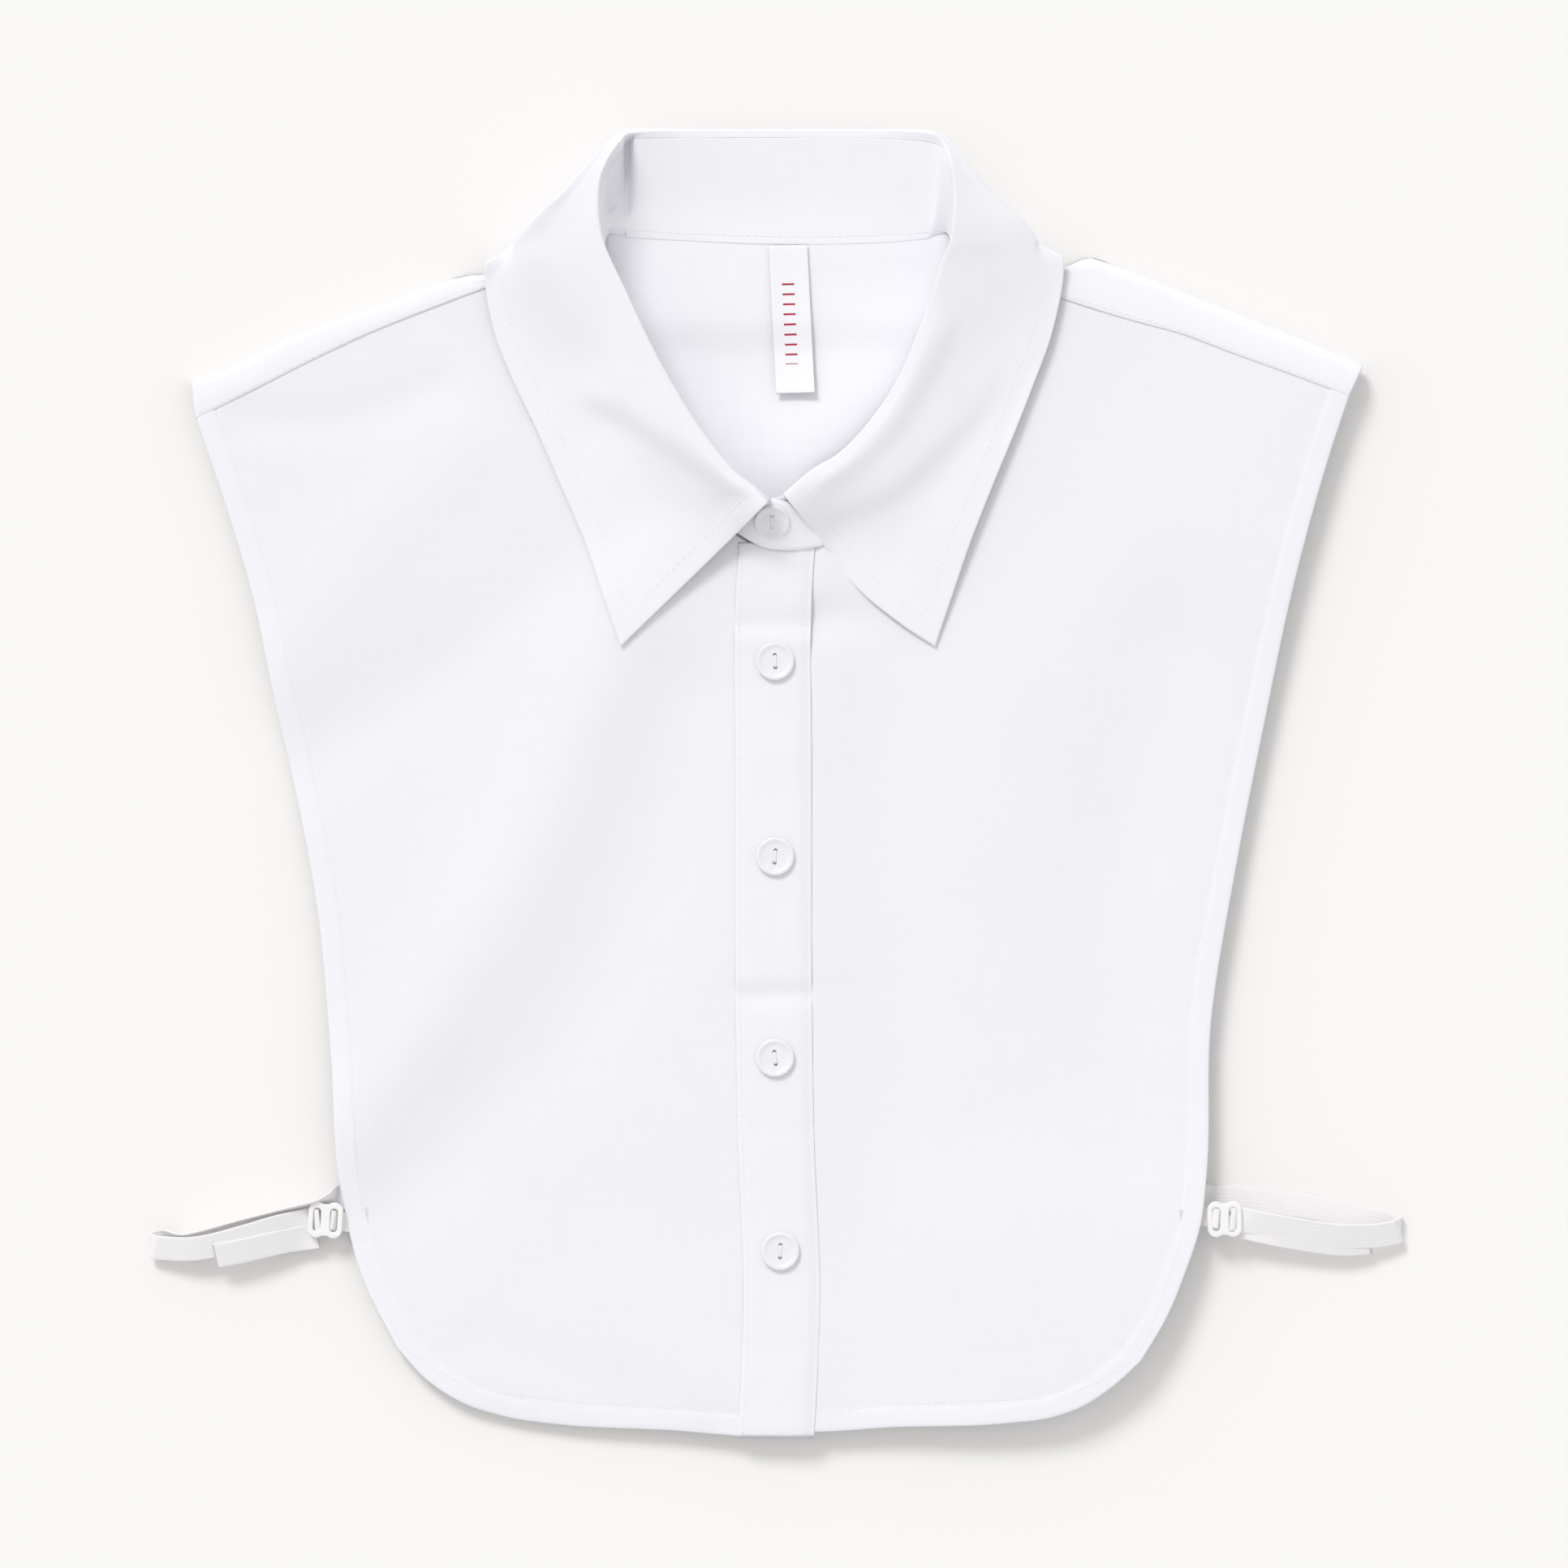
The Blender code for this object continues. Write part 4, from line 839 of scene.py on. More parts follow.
# Round the shoulders and the back: the roll, the outermost turn, and the free edge.
LEAF_TURNED_UNDER = {
    "left_8": ((-53.6, 171.0, 22.6), (-79.5, 165.8, 15.4), (-88.8, 161.0, 10.4)),
    "left_9": ((-54.1, 178.5, 22.4), (-75.2, 172.8, 18.0), (-83.5, 157.5, 0.9)),
    "left_10": ((-53.6, 185.0, 22.0), (-66.5, 180.4, 20.4), (-72.0, 152.5, 0.9)),
    "left_11": ((-51.5, 191.0, 21.4), (-57.6, 190.2, 20.4), (-60.0, 153.0, 0.9)),
    "left_12": ((-47.5, 197.0, 19.6), (-50.4, 198.2, 18.4), (-49.0, 155.0, 0.9)),
    "left_13": ((-43.0, 200.2, 13.6), (-43.2, 201.5, 11.0), (-40.0, 157.0, 0.9)),
    "back_left": ((-22.0, 201.0, 10.5), (-22.0, 201.6, 8.6), (-21.0, 158.2, 0.9)),
    "back_middle": ((4.0, 201.1, 9.9), (4.0, 201.6, 8.0), (4.0, 158.6, 0.9)),
    "back_right": ((30.0, 201.0, 10.3), (30.0, 201.6, 8.4), (29.0, 158.2, 0.9)),
    "right_13": ((48.0, 199.8, 13.4), (48.6, 201.0, 9.5), (46.0, 157.0, 0.9)),
    "right_12": ((52.8, 195.0, 17.6), (55.8, 195.2, 14.0), (54.0, 155.0, 0.9)),
    "right_11": ((54.2, 189.0, 19.6), (61.2, 188.0, 15.5), (62.0, 153.0, 0.9)),
    "right_10": ((54.9, 182.0, 20.2), (68.2, 180.0, 15.0), (72.0, 152.5, 0.9)),
    "right_9": ((54.6, 173.5, 20.4), (76.2, 173.0, 14.0), (83.0, 157.0, 0.9)),
    "right_8": ((53.6, 166.4, 19.8), (79.8, 166.6, 13.6), (88.2, 162.8, 11.2)),
}
# Where the leaf lies down (a share of its width), how high it still is there, how full it is before.
LEAF_FALL = {
    "left": (0.5, 0.3, 0.55), "right": (0.62, 0.12, 0.5),
    "left_0": (0.44, 0.06, 0.19), "left_1": (0.46, 0.13, 0.3), "left_2": (0.49, 0.22, 0.44),
    "left_6": (0.56, 0.38, 0.55), "left_7": (0.62, 0.5, 0.55),
    "right_2": (0.6, 0.1, 0.46), "right_1": (0.58, 0.02, 0.3), "right_0": (0.55, -0.06, 0.1),
    "right_6": (0.62, 0.2, 0.48), "right_7": (0.62, 0.42, 0.49),
}
# Along each line the leaf steps down, from the side of the roll: the line, half the step's width, its drop.
LEAF_STEPS = (
    (((-66, 121), (-48, 112.8), (-34.5, 104.3), (-19.8, 94.3), (-8.0, 86.5)), 3.0, 3.2),
    (((72, 138), (67, 121.5), (51.5, 101.8), (34.5, 88), (13, 79)), 3.4, 2.0),
    (((59, 150), (50, 129.9), (37, 108.8), (19.8, 93.8), (9, 88.5)), 3.2, 2.0),
)


def run_through(points, steps):
    """A smooth line through the points, with this many steps from each one to the next."""
    points = np.array(points)
    return smooth_rows(points, steps, gone_along(points))


def leaf_section(station):
    """From the seam on the stand, over the roll, to the free edge."""
    top = Vector(STAND[station][1])
    if station in LEAF_ON_FRONT:
        roll, edge, over_front, bow = LEAF_ON_FRONT[station]
        side, roll = station.split("_")[0], Vector(roll)
        edge = Vector((*edge, float(front_height(np.array(edge), side)) + over_front))
        out = edge - roll
        sideways = Vector((-out.y, out.x, 0)).normalized() * -bow
        reach, spring, full = LEAF_FALL.get(station, LEAF_FALL[side])
        turn = roll.lerp(edge, reach) + sideways
        turn.z = edge.z + spring * (roll.z - edge.z)
        under = roll.lerp(edge, reach + 0.26) + sideways * 0.6
        under.z = edge.z + 0.2 * spring * (roll.z - edge.z)
    else:
        full = 0.55
        roll, turn, edge = (Vector(point) for point in LEAF_TURNED_UNDER[station])
        under = turn.lerp(edge, 0.16)
        under.z = edge.z + 0.1 * (turn.z - edge.z)
    seam = top + (roll - top).normalized() * 0.02
    crown = roll.lerp(turn, 0.14)
    crown.z = roll.z - 0.06 * (roll.z - turn.z)
    chest = roll.lerp(turn, 0.55)
    chest.z = turn.z + full * (roll.z - turn.z)
    return run_through((seam, roll, crown, chest, turn, under, edge), 8)


def at_places(grid, places):
    """The rows of a grid of points at places between its own rows."""
    low = np.minimum(places.astype(int), len(grid) - 2)
    part = (places - low)[:, None, None]
    return grid[low] * (1 - part) + grid[low + 1] * part


leaf_stations = [name for name in STAND if not name.startswith("end")]
leaf_face = smooth_rows([leaf_section(name) for name in leaf_stations], 6).transpose(1, 0, 2)
# Close rows and columns of points just inside the free edge and the two slanting ends.
tall, wide = leaf_face.shape[:2]
leaf_rows = np.concatenate(([0, 0.06, 0.3], np.arange(1, tall - 1), tall - np.array((1.35, 1.06, 1))))
leaf_columns = np.concatenate(([0, 0.04, 0.25], np.arange(1, wide - 1), wide - np.array((1.25, 1.04, 1))))
leaf_face = at_places(at_places(leaf_face, leaf_rows).transpose(1, 0, 2), leaf_columns).transpose(1, 0, 2)
leaf_grain = surface_grain(leaf_face)
past_crown = (ease((leaf_rows - 9) / 9) * ease((48.2 - leaf_rows) / 6))[:, None]
for line, width, drop in LEAF_STEPS:
    marks = smooth_line(line)(np.linspace(0, 1, 90))
    near_to = np.stack([np.hypot(leaf_face[..., 0] - x, leaf_face[..., 1] - y) for x, y in marks])
    nearest, away = near_to.argmin(axis=0), near_to.min(axis=0)
    heading = np.gradient(marks, axis=0)[nearest]
    offset = leaf_face[..., :2] - marks[nearest]
    inside = np.sign(heading[..., 0] * offset[..., 1] - heading[..., 1] * offset[..., 0])
    inside *= np.sign(heading[..., 0])
    rise = 0.5 + 0.5 * np.tanh(inside * away / width)
    fade = ease(nearest / 22) * ease((89.5 - nearest) / 9) * peak(away, 15.0)
    leaf_face[..., 2] += drop * past_crown * (rise - 0.35) * fade
leaf_face[..., 2] += past_crown * 0.10 * ripple(leaf_face[..., :2], 22.0, 61)
leaf_face[..., 2] -= (1 - ease(leaf_rows / 8))[:, None] * pocket(leaf_face)
leaf_face[..., 2] = np.maximum(leaf_face[..., 2], 0.0)
# Round the back, beside its seam on the stand, it is painted whiter, as painted light to match the stand's
# painted-lighter tone; the seam's layers lie under the roll there.
round_back = ease((leaf_face[:1, :, 1] - 185.0) / 10.0)
leaf_seam_painted_light = ease((14 - leaf_rows) / 4)[:, None] * round_back
# It thins out at the seam on the stand and at its two slanting ends.
from_ends = np.minimum(leaf_columns, leaf_columns[-1] - leaf_columns)
leaf_wall = (0.12 + 0.73 * ease(leaf_rows / 4))[:, None] * (0.55 + 0.45 * ease(from_ends / 2))[None]
# Its second, whiter tone is the painted light round the back.
LEAF_POPLIN = poplin("leaf_poplin", (0.825, 0.816, 0.856), (0.875, 0.865, 0.902))
leaf = lay_cloth("collar_leaf", leaf_face, leaf_wall, LEAF_POPLIN, grain=leaf_grain, folded=leaf_seam_painted_light)


LEAF_SEWING = 6.0


def inset(line):
    """The place of the leaf's sewing, in from the first point of a line across it."""
    return places_along(LEAF_SEWING, gone_along(line), line)


sewn_row("leaf_sewing_edge", [inset(leaf_face[::-1, c]) for c in range(5, leaf_face.shape[1] - 5)])
sewn_row("leaf_sewing_point_left", [inset(leaf_face[r]) for r in range(16, len(leaf_face) - 6)])
sewn_row("leaf_sewing_point_right", [inset(leaf_face[r, ::-1]) for r in range(16, len(leaf_face) - 6)])


# ------------------------------------------------------------------ the woven label
# White satin tape folded into a loop, sewn into the neck seam with its fold hanging down. A pattern of
# short red bars is woven into it, and its free end lifts off the back.

LABEL_WIDTH, LABEL_LENGTH = 12.0, 46.0
LABEL_CORNER = (-2.0, 166.2)
LABEL_GAP, LABEL_LIFT, LABEL_TILT = 1.15, 1.7, 0.5     # off the back: everywhere, at its end, at one corner
label_down = np.concatenate(((0, 0.3), np.linspace(1.2, 43.2, 34), (44.4, 45.2, 45.7, 46.0)))
label_across = np.concatenate(((0, 0.12, 0.4), np.linspace(1.4, 10.6, 12), (11.6, 11.88, 12.0)))
label_slope = np.array((2.2, -44.0)) / 44.06
label_plan = (
    np.array(LABEL_CORNER) + label_down[:, None, None] * label_slope
    + label_across[None, :, None] * np.array((1.0, 0.02))
)
lift = np.clip(label_down / LABEL_LENGTH, 0, 1)[:, None] ** 1.8
label_top = back_height(label_plan) + LABEL_GAP
label_top = label_top + lift * (LABEL_LIFT + LABEL_TILT * (label_across / LABEL_WIDTH)[None])
label_top += 0.10 * np.cos(label_across / LABEL_WIDTH * 2 * math.pi)[None]
label_face = with_height(label_plan, label_top)[:, ::-1]
label_grain = np.stack(np.meshgrid(label_across[::-1], label_down), axis=-1)


# On the tape, in metres: the middle and half the length of a bar across it, the same of the pattern down
# it, the first bar, and from one bar to the next and from one satin line to the next.
BARS_ACROSS, BARS_DOWN = (0.0054, 0.0019), (0.0243, 0.0126)
FIRST_BAR, BAR_PITCH, SATIN_PITCH = 0.0118, 0.0031, 0.00022


def woven_bars():
    """Node group: where the short bars of the woven pattern are, over the tape's fine satin lines."""
    group, maths, _, (across, down, _), out = new_group(
        "woven_bars", ("Mask", "NodeSocketFloat"), ("Height", "NodeSocketFloat"))
    in_pattern = maths("MULTIPLY", maths("COMPARE", across, *BARS_ACROSS), maths("COMPARE", down, *BARS_DOWN))
    beat = maths("FRACT", maths("DIVIDE", maths("SUBTRACT", down, FIRST_BAR), BAR_PITCH))
    feed(out, {"Mask": maths("MULTIPLY", in_pattern, maths("LESS_THAN", beat, 0.2)),
               "Height": maths("SINE", maths("MULTIPLY", across, 2 * math.pi / SATIN_PITCH))})
    return group


SATIN = new_finish("label_satin", {"Roughness": 0.5, "Specular IOR Level": 0.3})
bars = add_node(SATIN.node_tree, "Group", node_tree=woven_bars()).outputs
feed(SATIN.node_tree.nodes["Principled BSDF"], {"Base Color": between(
    SATIN.node_tree, bars["Mask"], (0.850, 0.841, 0.866, 1), (0.42, 0.02, 0.05, 1))})
roughen(SATIN, bars["Height"], 0.00002, 0.4)
label = set_down(
    "label_tape", cloth_mesh("label_tape", label_face, 0.4, grain=label_grain, outer_down=True),
    SATIN, "label")


# ------------------------------------------------------------------ the buttons
# Five turned two-hole buttons of pale resin, sewn on with white thread: four down the placket and one on
# the collar stand. Each has a rounded rim round a shallow dish.

BUTTONS = {
    "button_1": (0.0, 37.8),
    "button_2": (0.0, -22.3),
    "button_3": (0.0, -84.3),
    "button_4": (1.6, -143.8),
}
BUTTON_RADIUS, BUTTON_GAP = 5.9, 0.12                  # and its foot over the cloth
STAND_BUTTON_SIZE, STAND_BUTTON_GAP = 0.94, 0.25       # the one on the stand: its scale, and the same
STAND_BUTTON_X, STAND_BUTTON_Y = -0.9, 80.9
BUTTON_PROFILE = (             # out from the middle, and up from the foot
    (0, 1.02), (2.3, 1.02), (3.1, 1.04), (3.9, 1.1), (4.35, 1.22), (4.7, 1.4), (5.0, 1.5), (5.3, 1.53),
    (5.55, 1.49), (5.75, 1.36), (5.86, 1.16), (5.9, 0.9), (5.84, 0.6), (5.6, 0.34), (5.2, 0.16), (4.6, 0.06),
    (3.0, 0.0), (0, 0.0),
)
HOLE_RADIUS, HOLE_OUT, HOLE_SIDES = 0.62, 1.88, 20
LOOP_RADIUS, LOOP_SIDES = 0.11, 8
RESIN, _ = two_toned("button_resin", (0.77, 0.76, 0.80), (0.84, 0.83, 0.87),
                     {"Roughness": 0.22, "Coat Weight": 0.25, "Coat Roughness": 0.08},
                     "TexNoise", {"Scale": 420.0, "Detail": 3.0})


def as_built(drawn, *helpers, sharp):
    """The mesh of a drawn object, with its modifiers applied. The object and its helpers go."""
    bpy.context.view_layer.update()
    made = bpy.data.meshes.new_from_object(drawn.evaluated_get(bpy.context.evaluated_depsgraph_get()))
    for helper in (drawn, *helpers):
        bpy.data.objects.remove(helper)
    made.materials.clear()
    made.shade_smooth()
    made.set_sharp_from_angle(angle=math.radians(sharp))
    return made


def turned_button(radius):
    """A turned disc with two holes through it, its foot at z = 0."""
    profile = bpy.data.meshes.new("button_profile")
    scale = radius / BUTTON_RADIUS * MM
    profile.from_pydata([(out * scale, 0, up * MM) for out, up in BUTTON_PROFILE],
                        [(i, i + 1) for i in range(len(BUTTON_PROFILE) - 1)], [])
    disc = add_object("button_profile", profile)
    screw = disc.modifiers.new("turn", "SCREW")
    screw.steps = screw.render_steps = 64
    screw.use_merge_vertices = True
    screw.merge_threshold = 0.000001
    drills = []
    for side in (-1, 1):
        drill_mesh = bpy.data.meshes.new("drill")
        ring = [(HOLE_RADIUS * math.cos(a), side * HOLE_OUT + HOLE_RADIUS * math.sin(a))
                for a in turns_round(HOLE_SIDES)]
        faces = tube_faces(2, HOLE_SIDES)
        drill_mesh.from_pydata([(x * MM, y * MM, z * MM) for z in (-3, 5) for x, y in ring], [],
                               faces[-2:] + faces[:-2])
        drills.append(add_object("drill", drill_mesh))
        cut = disc.modifiers.new("hole", "BOOLEAN")
        cut.operation = "DIFFERENCE"
        cut.object = drills[-1]
    return as_built(disc, *drills, sharp=50)


def thread_loop(name, points):
    """One strand of thread along a line of points, with closed ends."""
    route = smooth_rows(points, 4)
    along = unit(np.gradient(route, axis=0))
    side = unit(np.cross(along, (0.31, 0.27, 0.91)))
    turn = turns_round(LOOP_SIDES)[None, :, None]
    swell = np.full(len(route), LOOP_RADIUS)
    swell[0] = swell[-1] = LOOP_RADIUS * 0.35
    rings = route[:, None] + swell[:, None, None] * (
        np.cos(turn) * side[:, None] + np.sin(turn) * np.cross(along, side)[:, None])
    return smooth_mesh(name, rings.reshape(-1, 3), tube_faces(len(route), LOOP_SIDES))


def sew_on(name, radius, place, lean=0.0, turn=0.0):
    """Lays a button on the cloth and adds the four strands of thread through its holes."""
    piece = set_down(f"{name}_resin", turned_button(radius), RESIN, name)
    piece.matrix_world = Matrix.Translation(Vector(place) * MM) @ Euler((lean, 0, turn)).to_matrix().to_4x4()
    for number, shift in enumerate((-0.3, -0.1, 0.12, 0.3)):
        arch = [(shift, -1.9, 0.5), (shift, -1.72, 1.0), (shift * 0.8, -1.2, 1.2 + 0.05 * (number % 2)),
                (shift * 0.6, 0, 1.24), (shift * 0.8, 1.2, 1.2), (shift, 1.72, 1.0), (shift, 1.9, 0.5)]
        thread = f"{name}_thread_{number + 1}"
        strand = set_down(thread, thread_loop(thread, arch), THREAD)
        strand.matrix_world = piece.matrix_world


for (name, (x, y)), turn in zip(BUTTONS.items(), (0.05, -0.08, 0.12, -0.04)):
    sew_on(name, BUTTON_RADIUS, (x, y, height_at(placket_face, x, y) + BUTTON_GAP), turn=turn)

# The one on the collar lies on the stand's slope.
foot, top = (Vector(point) for point in STAND["left_0"])
lean = math.atan2(top.z - foot.z, top.y - foot.y)
on_stand = foot + (top - foot) * ((STAND_BUTTON_Y - foot.y) / (top.y - foot.y))
on_stand.x = STAND_BUTTON_X
off_stand = Euler((lean, 0, 0)).to_matrix() @ Vector((0, 0, STAND_BUTTON_GAP))
sew_on("button_collar", STAND_BUTTON_SIZE * BUTTON_RADIUS, on_stand + off_stand, lean=lean)


# ------------------------------------------------------------------ the elastic straps
# One loop of flat white knitted elastic at each side, sewn to the back. It runs out, folds, comes forward
# and passes through the slider; its turned-back end lies under it, and a short tab joins slider and front.

ELASTIC_WIDTH, TAB_WIDTH, ELASTIC_WALL = 8.0, 6.0, 0.7
PINCH, OFF_TABLE = 1.1, 0.42
RUN_STEPS, SLIDER_END = 9, 27                          # points to a step, and the first one past the slider
ELASTIC, knit = two_toned("knitted_elastic", (0.822, 0.806, 0.810), (0.838, 0.822, 0.826),
                          {"Roughness": 0.85, "Specular IOR Level": 0.25},
                          "TexWave", {"Scale": 420.0, "Distortion": 2.0, "Detail": 2.0}, on_cloth=True,
                          wave_type="BANDS", bands_direction="DIAGONAL")
roughen(ELASTIC, knit, 0.00003, 0.6)


def lay_tape(node, route, lean, width):
    """Adds a flat tape along a line through the middle of its upper face. lean turns it up on its edge."""
    run = np.gradient(route[:, :2], axis=0)
    place = np.arange(len(route))
    straight = place[np.abs(run[:, 0]) > 0.3 * np.median(np.abs(run[:, 0]))]
    slope = np.interp(place, straight, -run[straight, 1] / run[straight, 0])
    level = unit(np.column_stack((slope, np.ones_like(slope), np.zeros_like(slope))))
    across = level * np.cos(lean)[:, None] + np.array((0, 0, 1.0)) * np.sin(lean)[:, None]
    normal = np.cross(unit(np.gradient(route, axis=0)), across)
    wide = np.broadcast_to(width, len(route))
    shares = np.concatenate(((-0.5, -0.488, -0.46), np.linspace(-0.42, 0.42, 25), (0.46, 0.488, 0.5)))
    rib = 0.022 * np.cos(shares * 2 * math.pi * 7.0) * (np.abs(shares) < 0.45)
    face = (
        route[:, None] + shares[None, :, None] * wide[:, None, None] * across[:, None]
        + rib[None, :, None] * normal[:, None]
    )
    grain = np.stack(np.broadcast_arrays(shares[None] * wide[:, None], gone_along(route)[:, None]), axis=-1)
    name = f"{node}_elastic"
    return set_down(name, cloth_mesh(name, face, ELASTIC_WALL, grain=grain), ELASTIC, node)


def doubled_run(front, back, sign):
    """The line of a tape that runs out, turns down round its fold and comes back under itself."""
    out, home = run_through(front, RUN_STEPS), run_through(back, RUN_STEPS)
    start, end = out[-1], home[0]
    radius = (start[2] - end[2]) / 2
    bend = []
    for angle in np.linspace(0, math.pi, 15)[1:-1]:
        share = angle / math.pi
        middle = start * (1 - share) + end * share
        bend.append((middle[0] + sign * radius * math.sin(angle), middle[1],
                     end[2] + radius * (1 + math.cos(angle))))
    return np.concatenate((out, bend, home))


ELASTICS = {
    "left": {
        "sign": -1, "stands": 78, "tips": 19,
        "slider": (-138.6, -134.4, 6.2),
        "front": ((-140.3, -134.5, 6.9), (-141.4, -134.6, 6.9), (-142.0, -134.7, 6.2), (-142.8, -134.8, 5.2),
                  (-145.5, -135.1, 5.6), (-153, -136.6, 7.4), (-162.5, -139.4, 8.6), (-171, -141.8, 8.6),
                  (-180.0, -143.4, 7.6), (-190.2, -143.2, 5.4)),
        "back": ((-190.0, -141.8, 0.35), (-184.8, -139.9, 0.5), (-176.0, -137.8, 0.6), (-164, -134.5, 0.6),
                 (-150, -130.9, 0.5), (-137.0, -128.0, 0.3), (-131.8, -127.4, 2.0), (-123.5, -127.0, 2.2)),
        "tail": ((-141.0, -139.2, 4.4), (-146.0, -140.2, 5.1), (-153.0, -141.4, 6.9), (-163.5, -143.8, 8.0),
                 (-172.6, -145.6, 8.0)),
        "tab": ((-124.5, -136.0, 3.0), (-130.5, -135.4, 3.8), (-133.8, -134.9, 4.8), (-134.8, -134.7, 5.2),
                (-135.5, -134.6, 6.2), (-136.1, -134.5, 6.8), (-137.0, -134.4, 6.9)),
    },
    "right": {
        "sign": 1, "stands": -8, "tips": 18,
        "slider": (138.4, -134.0, 8.6),
        "front": ((140.1, -134.1, 9.3), (141.2, -134.1, 9.3), (141.8, -134.2, 8.6), (142.6, -134.3, 7.5),
                  (146, -134.7, 7.6), (156.3, -136.6, 7.6), (173.8, -139.2, 6.8), (185.0, -139.2, 5.4),
                  (190.6, -138.4, 4.5)),
        "back": ((190.4, -136.8, 0.35), (182.8, -134.8, 0.4), (167.3, -131.0, 0.5), (148, -128.6, 0.4),
                 (135.5, -127.9, 0.4), (131.0, -127.5, 2.0), (121.5, -127.0, 2.2)),
        "tail": ((141.5, -135.6, 6.4), (156.3, -138.9, 6.8), (173.8, -141.6, 6.0), (184.0, -141.2, 4.7)),
        "tab": ((125.0, -132.9, 7.3), (131.0, -133.1, 7.4), (133.6, -133.5, 7.5), (134.4, -133.6, 7.6),
                (135.0, -133.7, 8.6), (135.7, -133.8, 9.2), (136.7, -133.9, 9.3)),
    },
}
for side, given in ELASTICS.items():
    route = doubled_run(given["front"], given["back"], given["sign"])
    place = np.arange(len(route))
    going_back = place - (len(route) - RUN_STEPS * (len(given["back"]) - 1))
    # Coming back the tape stands up on its lower edge, and lies flat again where it reaches the back.
    standing = ease(going_back / 12) * ease((len(route) - 1 - place - 12) / 10)
    lean = math.radians(given["stands"]) * standing
    route[:, 2] += ELASTIC_WIDTH / 2 * np.abs(np.sin(lean)) + OFF_TABLE * ease((going_back + 3) / 9)
    # Going out it tips a little towards its lower edge.
    tipped = math.radians(given["tips"])
    lean += tipped * ease((place - SLIDER_END) / 14) * ease(-going_back / 10)
    # It is pinched together where it comes up through the slider.
    strap = lay_tape(f"strap_{side}", route, lean, ELASTIC_WIDTH - PINCH * ease((SLIDER_END - place) / 9))
    for kind, width, tip in (("tail", ELASTIC_WIDTH, tipped), ("tab", TAB_WIDTH, 0.0)):
        line = run_through(given[kind], 8)
        piece = lay_tape(f"strap_{kind}_{side}", line, tip * ease(np.arange(len(line)) / 12), width)


# ------------------------------------------------------------------ the sliders
# A flat ring of two lobes in clear white plastic on each strap, moulded in one with a bar between its
# slots. The elastic runs over the outer bar and the tab is sewn round the inner one.

SLIDER_LENGTH, SLIDER_HEIGHT, SLIDER_THICK, SLIDER_EDGE = 10.4, 11.1, 1.8, 0.45
SLOT_HALF_WIDTH, SLOT_HALF_HEIGHT = 1.15, 3.6
SLIDER_PLASTIC, _ = two_toned("slider_plastic", (0.84, 0.825, 0.83), (0.87, 0.855, 0.86),
                              {"Roughness": 0.28}, "TexNoise", {"Scale": 300.0})


def slot_shape(middle, half_x, half_y, steps):
    """A slot's outline: straight sides with round ends."""
    points = []
    for quarter, end in enumerate((1, 1, -1, -1)):
        for step in range(steps + 1):
            angle = math.pi / 2 * (quarter + step / steps)
            points.append((middle + half_x * math.cos(angle),
                           end * (half_y - half_x) + half_x * math.sin(angle)))
    return points


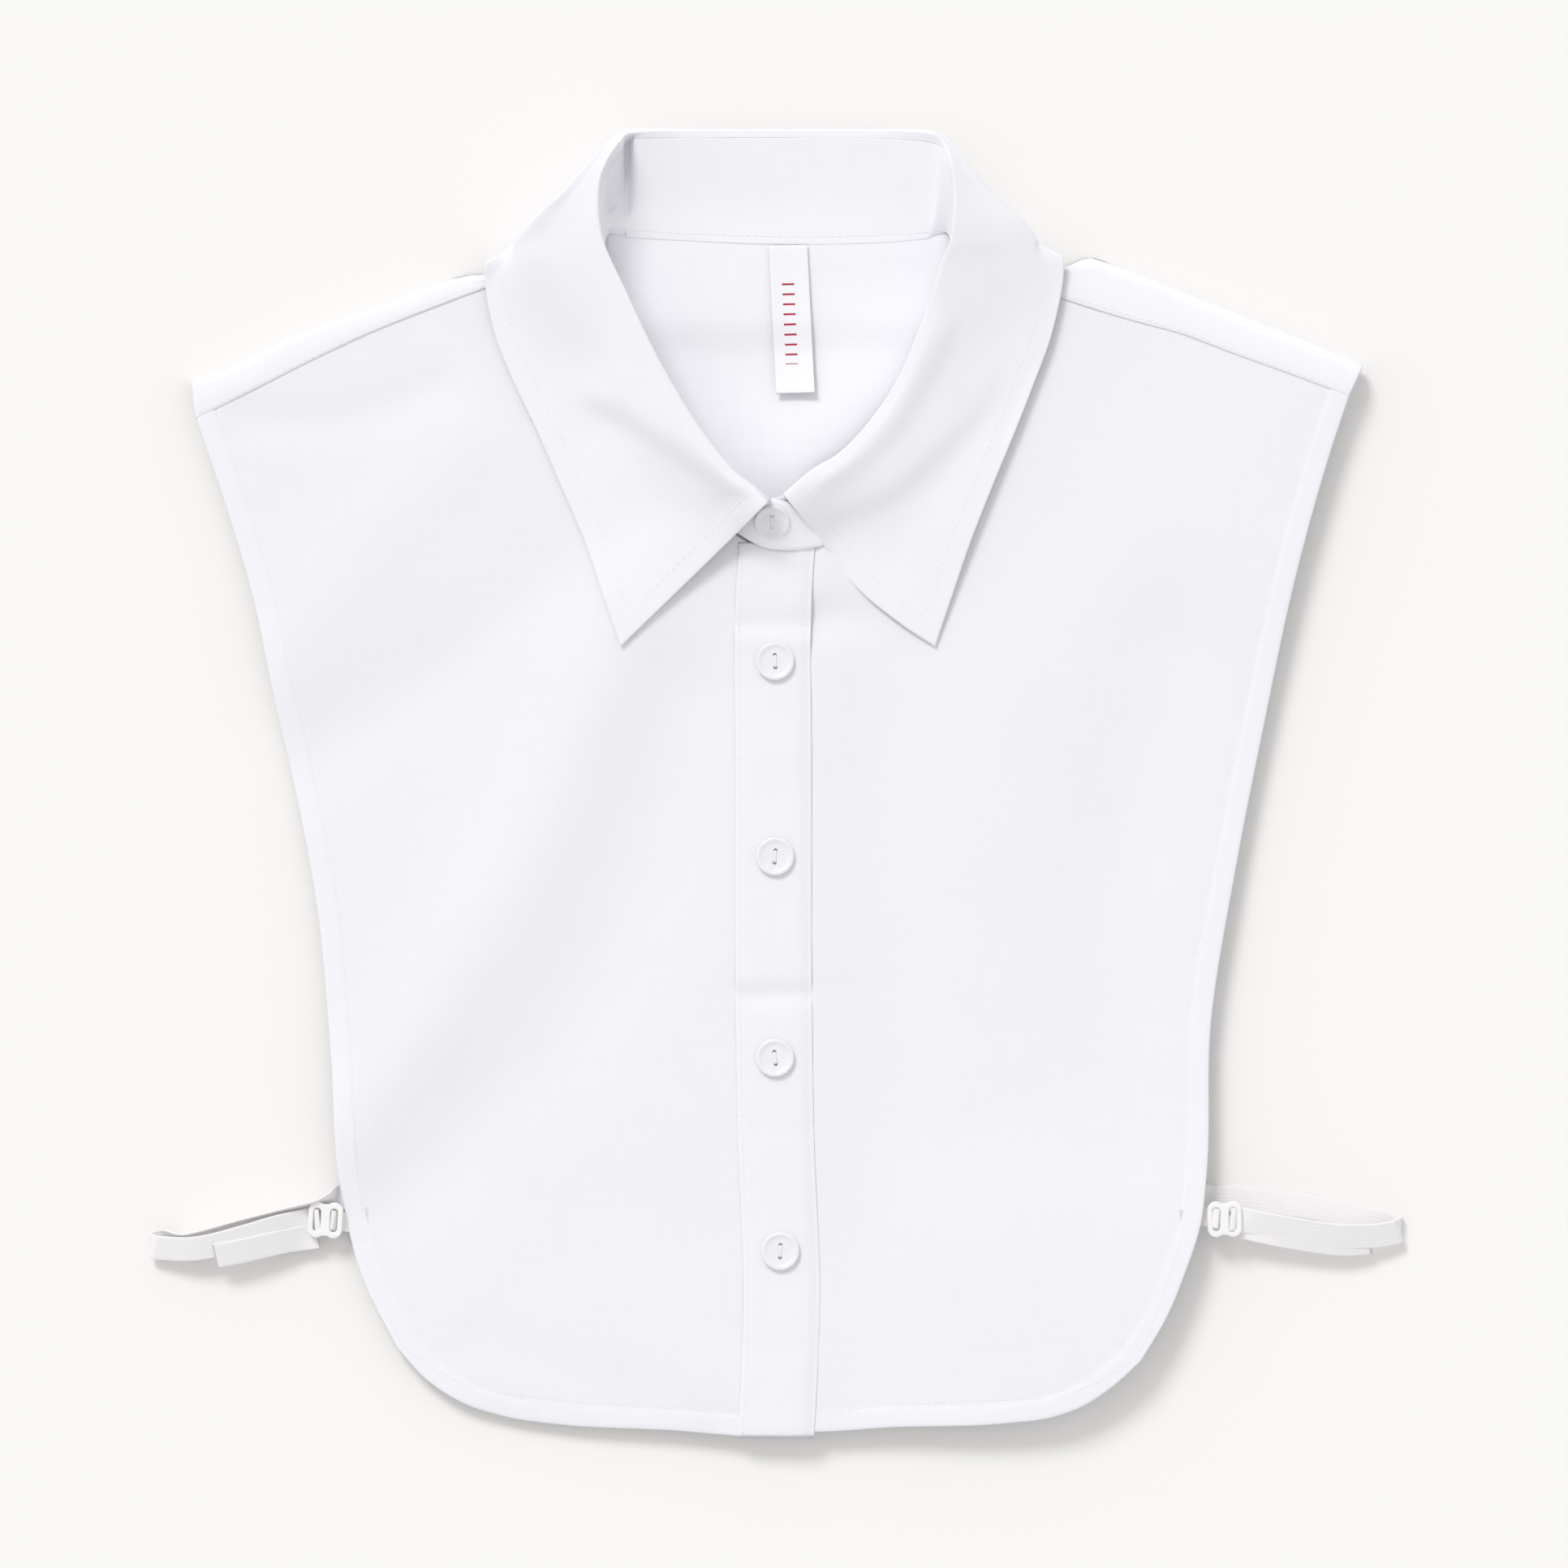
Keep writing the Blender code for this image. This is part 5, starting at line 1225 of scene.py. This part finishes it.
def slider_mesh(name):
    """A ring of two lobes with a slot through each, its edges rounded."""
    lobe, reach, edge = SLIDER_LENGTH / 4, SLIDER_HEIGHT / 2, SLIDER_EDGE
    right = [p for p in slot_shape(lobe, lobe + 0.12 - edge, reach - edge, 12) if p[0] > 0.95]
    right.sort(key=lambda p: math.atan2(p[1], p[0]))
    outlines = [right + [(-x, -y) for x, y in right]]
    outlines += [slot_shape(side * lobe, SLOT_HALF_WIDTH + edge, SLOT_HALF_HEIGHT + edge, 10)
                 for side in (-1, 1)]
    shape = bpy.data.curves.new(name, "CURVE")
    shape.dimensions = "2D"
    shape.fill_mode = "BOTH"
    shape.extrude = (SLIDER_THICK / 2 - edge) * MM
    shape.bevel_depth = edge * MM
    shape.bevel_resolution = 3
    for outline in outlines:
        spline = shape.splines.new("POLY")
        spline.points.add(len(outline) - 1)
        for point, (x, y) in zip(spline.points, outline):
            point.co = (x * MM, y * MM, 0, 1)
        spline.use_cyclic_u = True
    return as_built(add_object(name, shape), sharp=40)


for side, turn in (("left", -0.06), ("right", 0.02)):
    name = f"slider_{side}_ring"
    slider = set_down(name, slider_mesh(name), SLIDER_PLASTIC, f"slider_{side}")
    slider.location = Vector(ELASTICS[side]["slider"]) * MM
    slider.rotation_euler = (0, 0, turn)


# ------------------------------------------------------------------ the table, the light and the camera
# A plain pale table top under the garment, one soft light from the upper left and an even white room,
# and a camera straight above.

TABLE_HALF = 2.5                                       # metres
table_mesh = bpy.data.meshes.new("table_top")
corners = [(x * TABLE_HALF, y * TABLE_HALF, 0) for x, y in ((-1, -1), (1, -1), (1, 1), (-1, 1))]
table_mesh.from_pydata(corners, [], [range(4)])
table_mesh.materials.append(new_finish("pale_card", {
    "Base Color": (0.862, 0.853, 0.838, 1), "Roughness": 0.95, "Specular IOR Level": 0.1}))
add_object("table_top", table_mesh)

room = bpy.data.worlds.new("white_room")
bpy.context.scene.world = room
room.use_nodes = True
feed(room.node_tree.nodes["Background"], {"Color": (1, 1, 1, 1), "Strength": 0.80})

lamp = bpy.data.lights.new("window", "SUN")
lamp.energy = 1.45
lamp.angle = math.radians(19)
window = add_object("window", lamp)
window.rotation_euler = Vector((-0.52, 1.0, 1.0)).normalized().to_track_quat("Z", "Y").to_euler()

# The picture is 483 mm wide at the level of the cloth, 8 mm over the table.
CAMERA_AWAY, PICTURE_WIDTH, SENSOR_WIDTH, CLOTH_LEVEL, MIDDLE_X = 2400.0, 483.0, 36.0, 8.0, 2.75
camera = add_object("camera", bpy.data.cameras.new("camera"))
camera.data.sensor_width = SENSOR_WIDTH
camera.data.lens = SENSOR_WIDTH * CAMERA_AWAY / PICTURE_WIDTH
camera.data.clip_end = 20
camera.location = (MIDDLE_X * MM, 0.0, (CAMERA_AWAY + CLOTH_LEVEL) * MM)
camera.rotation_euler = (0, 0, 0)
bpy.context.scene.camera = camera
bpy.context.scene.view_settings.view_transform = "Standard"
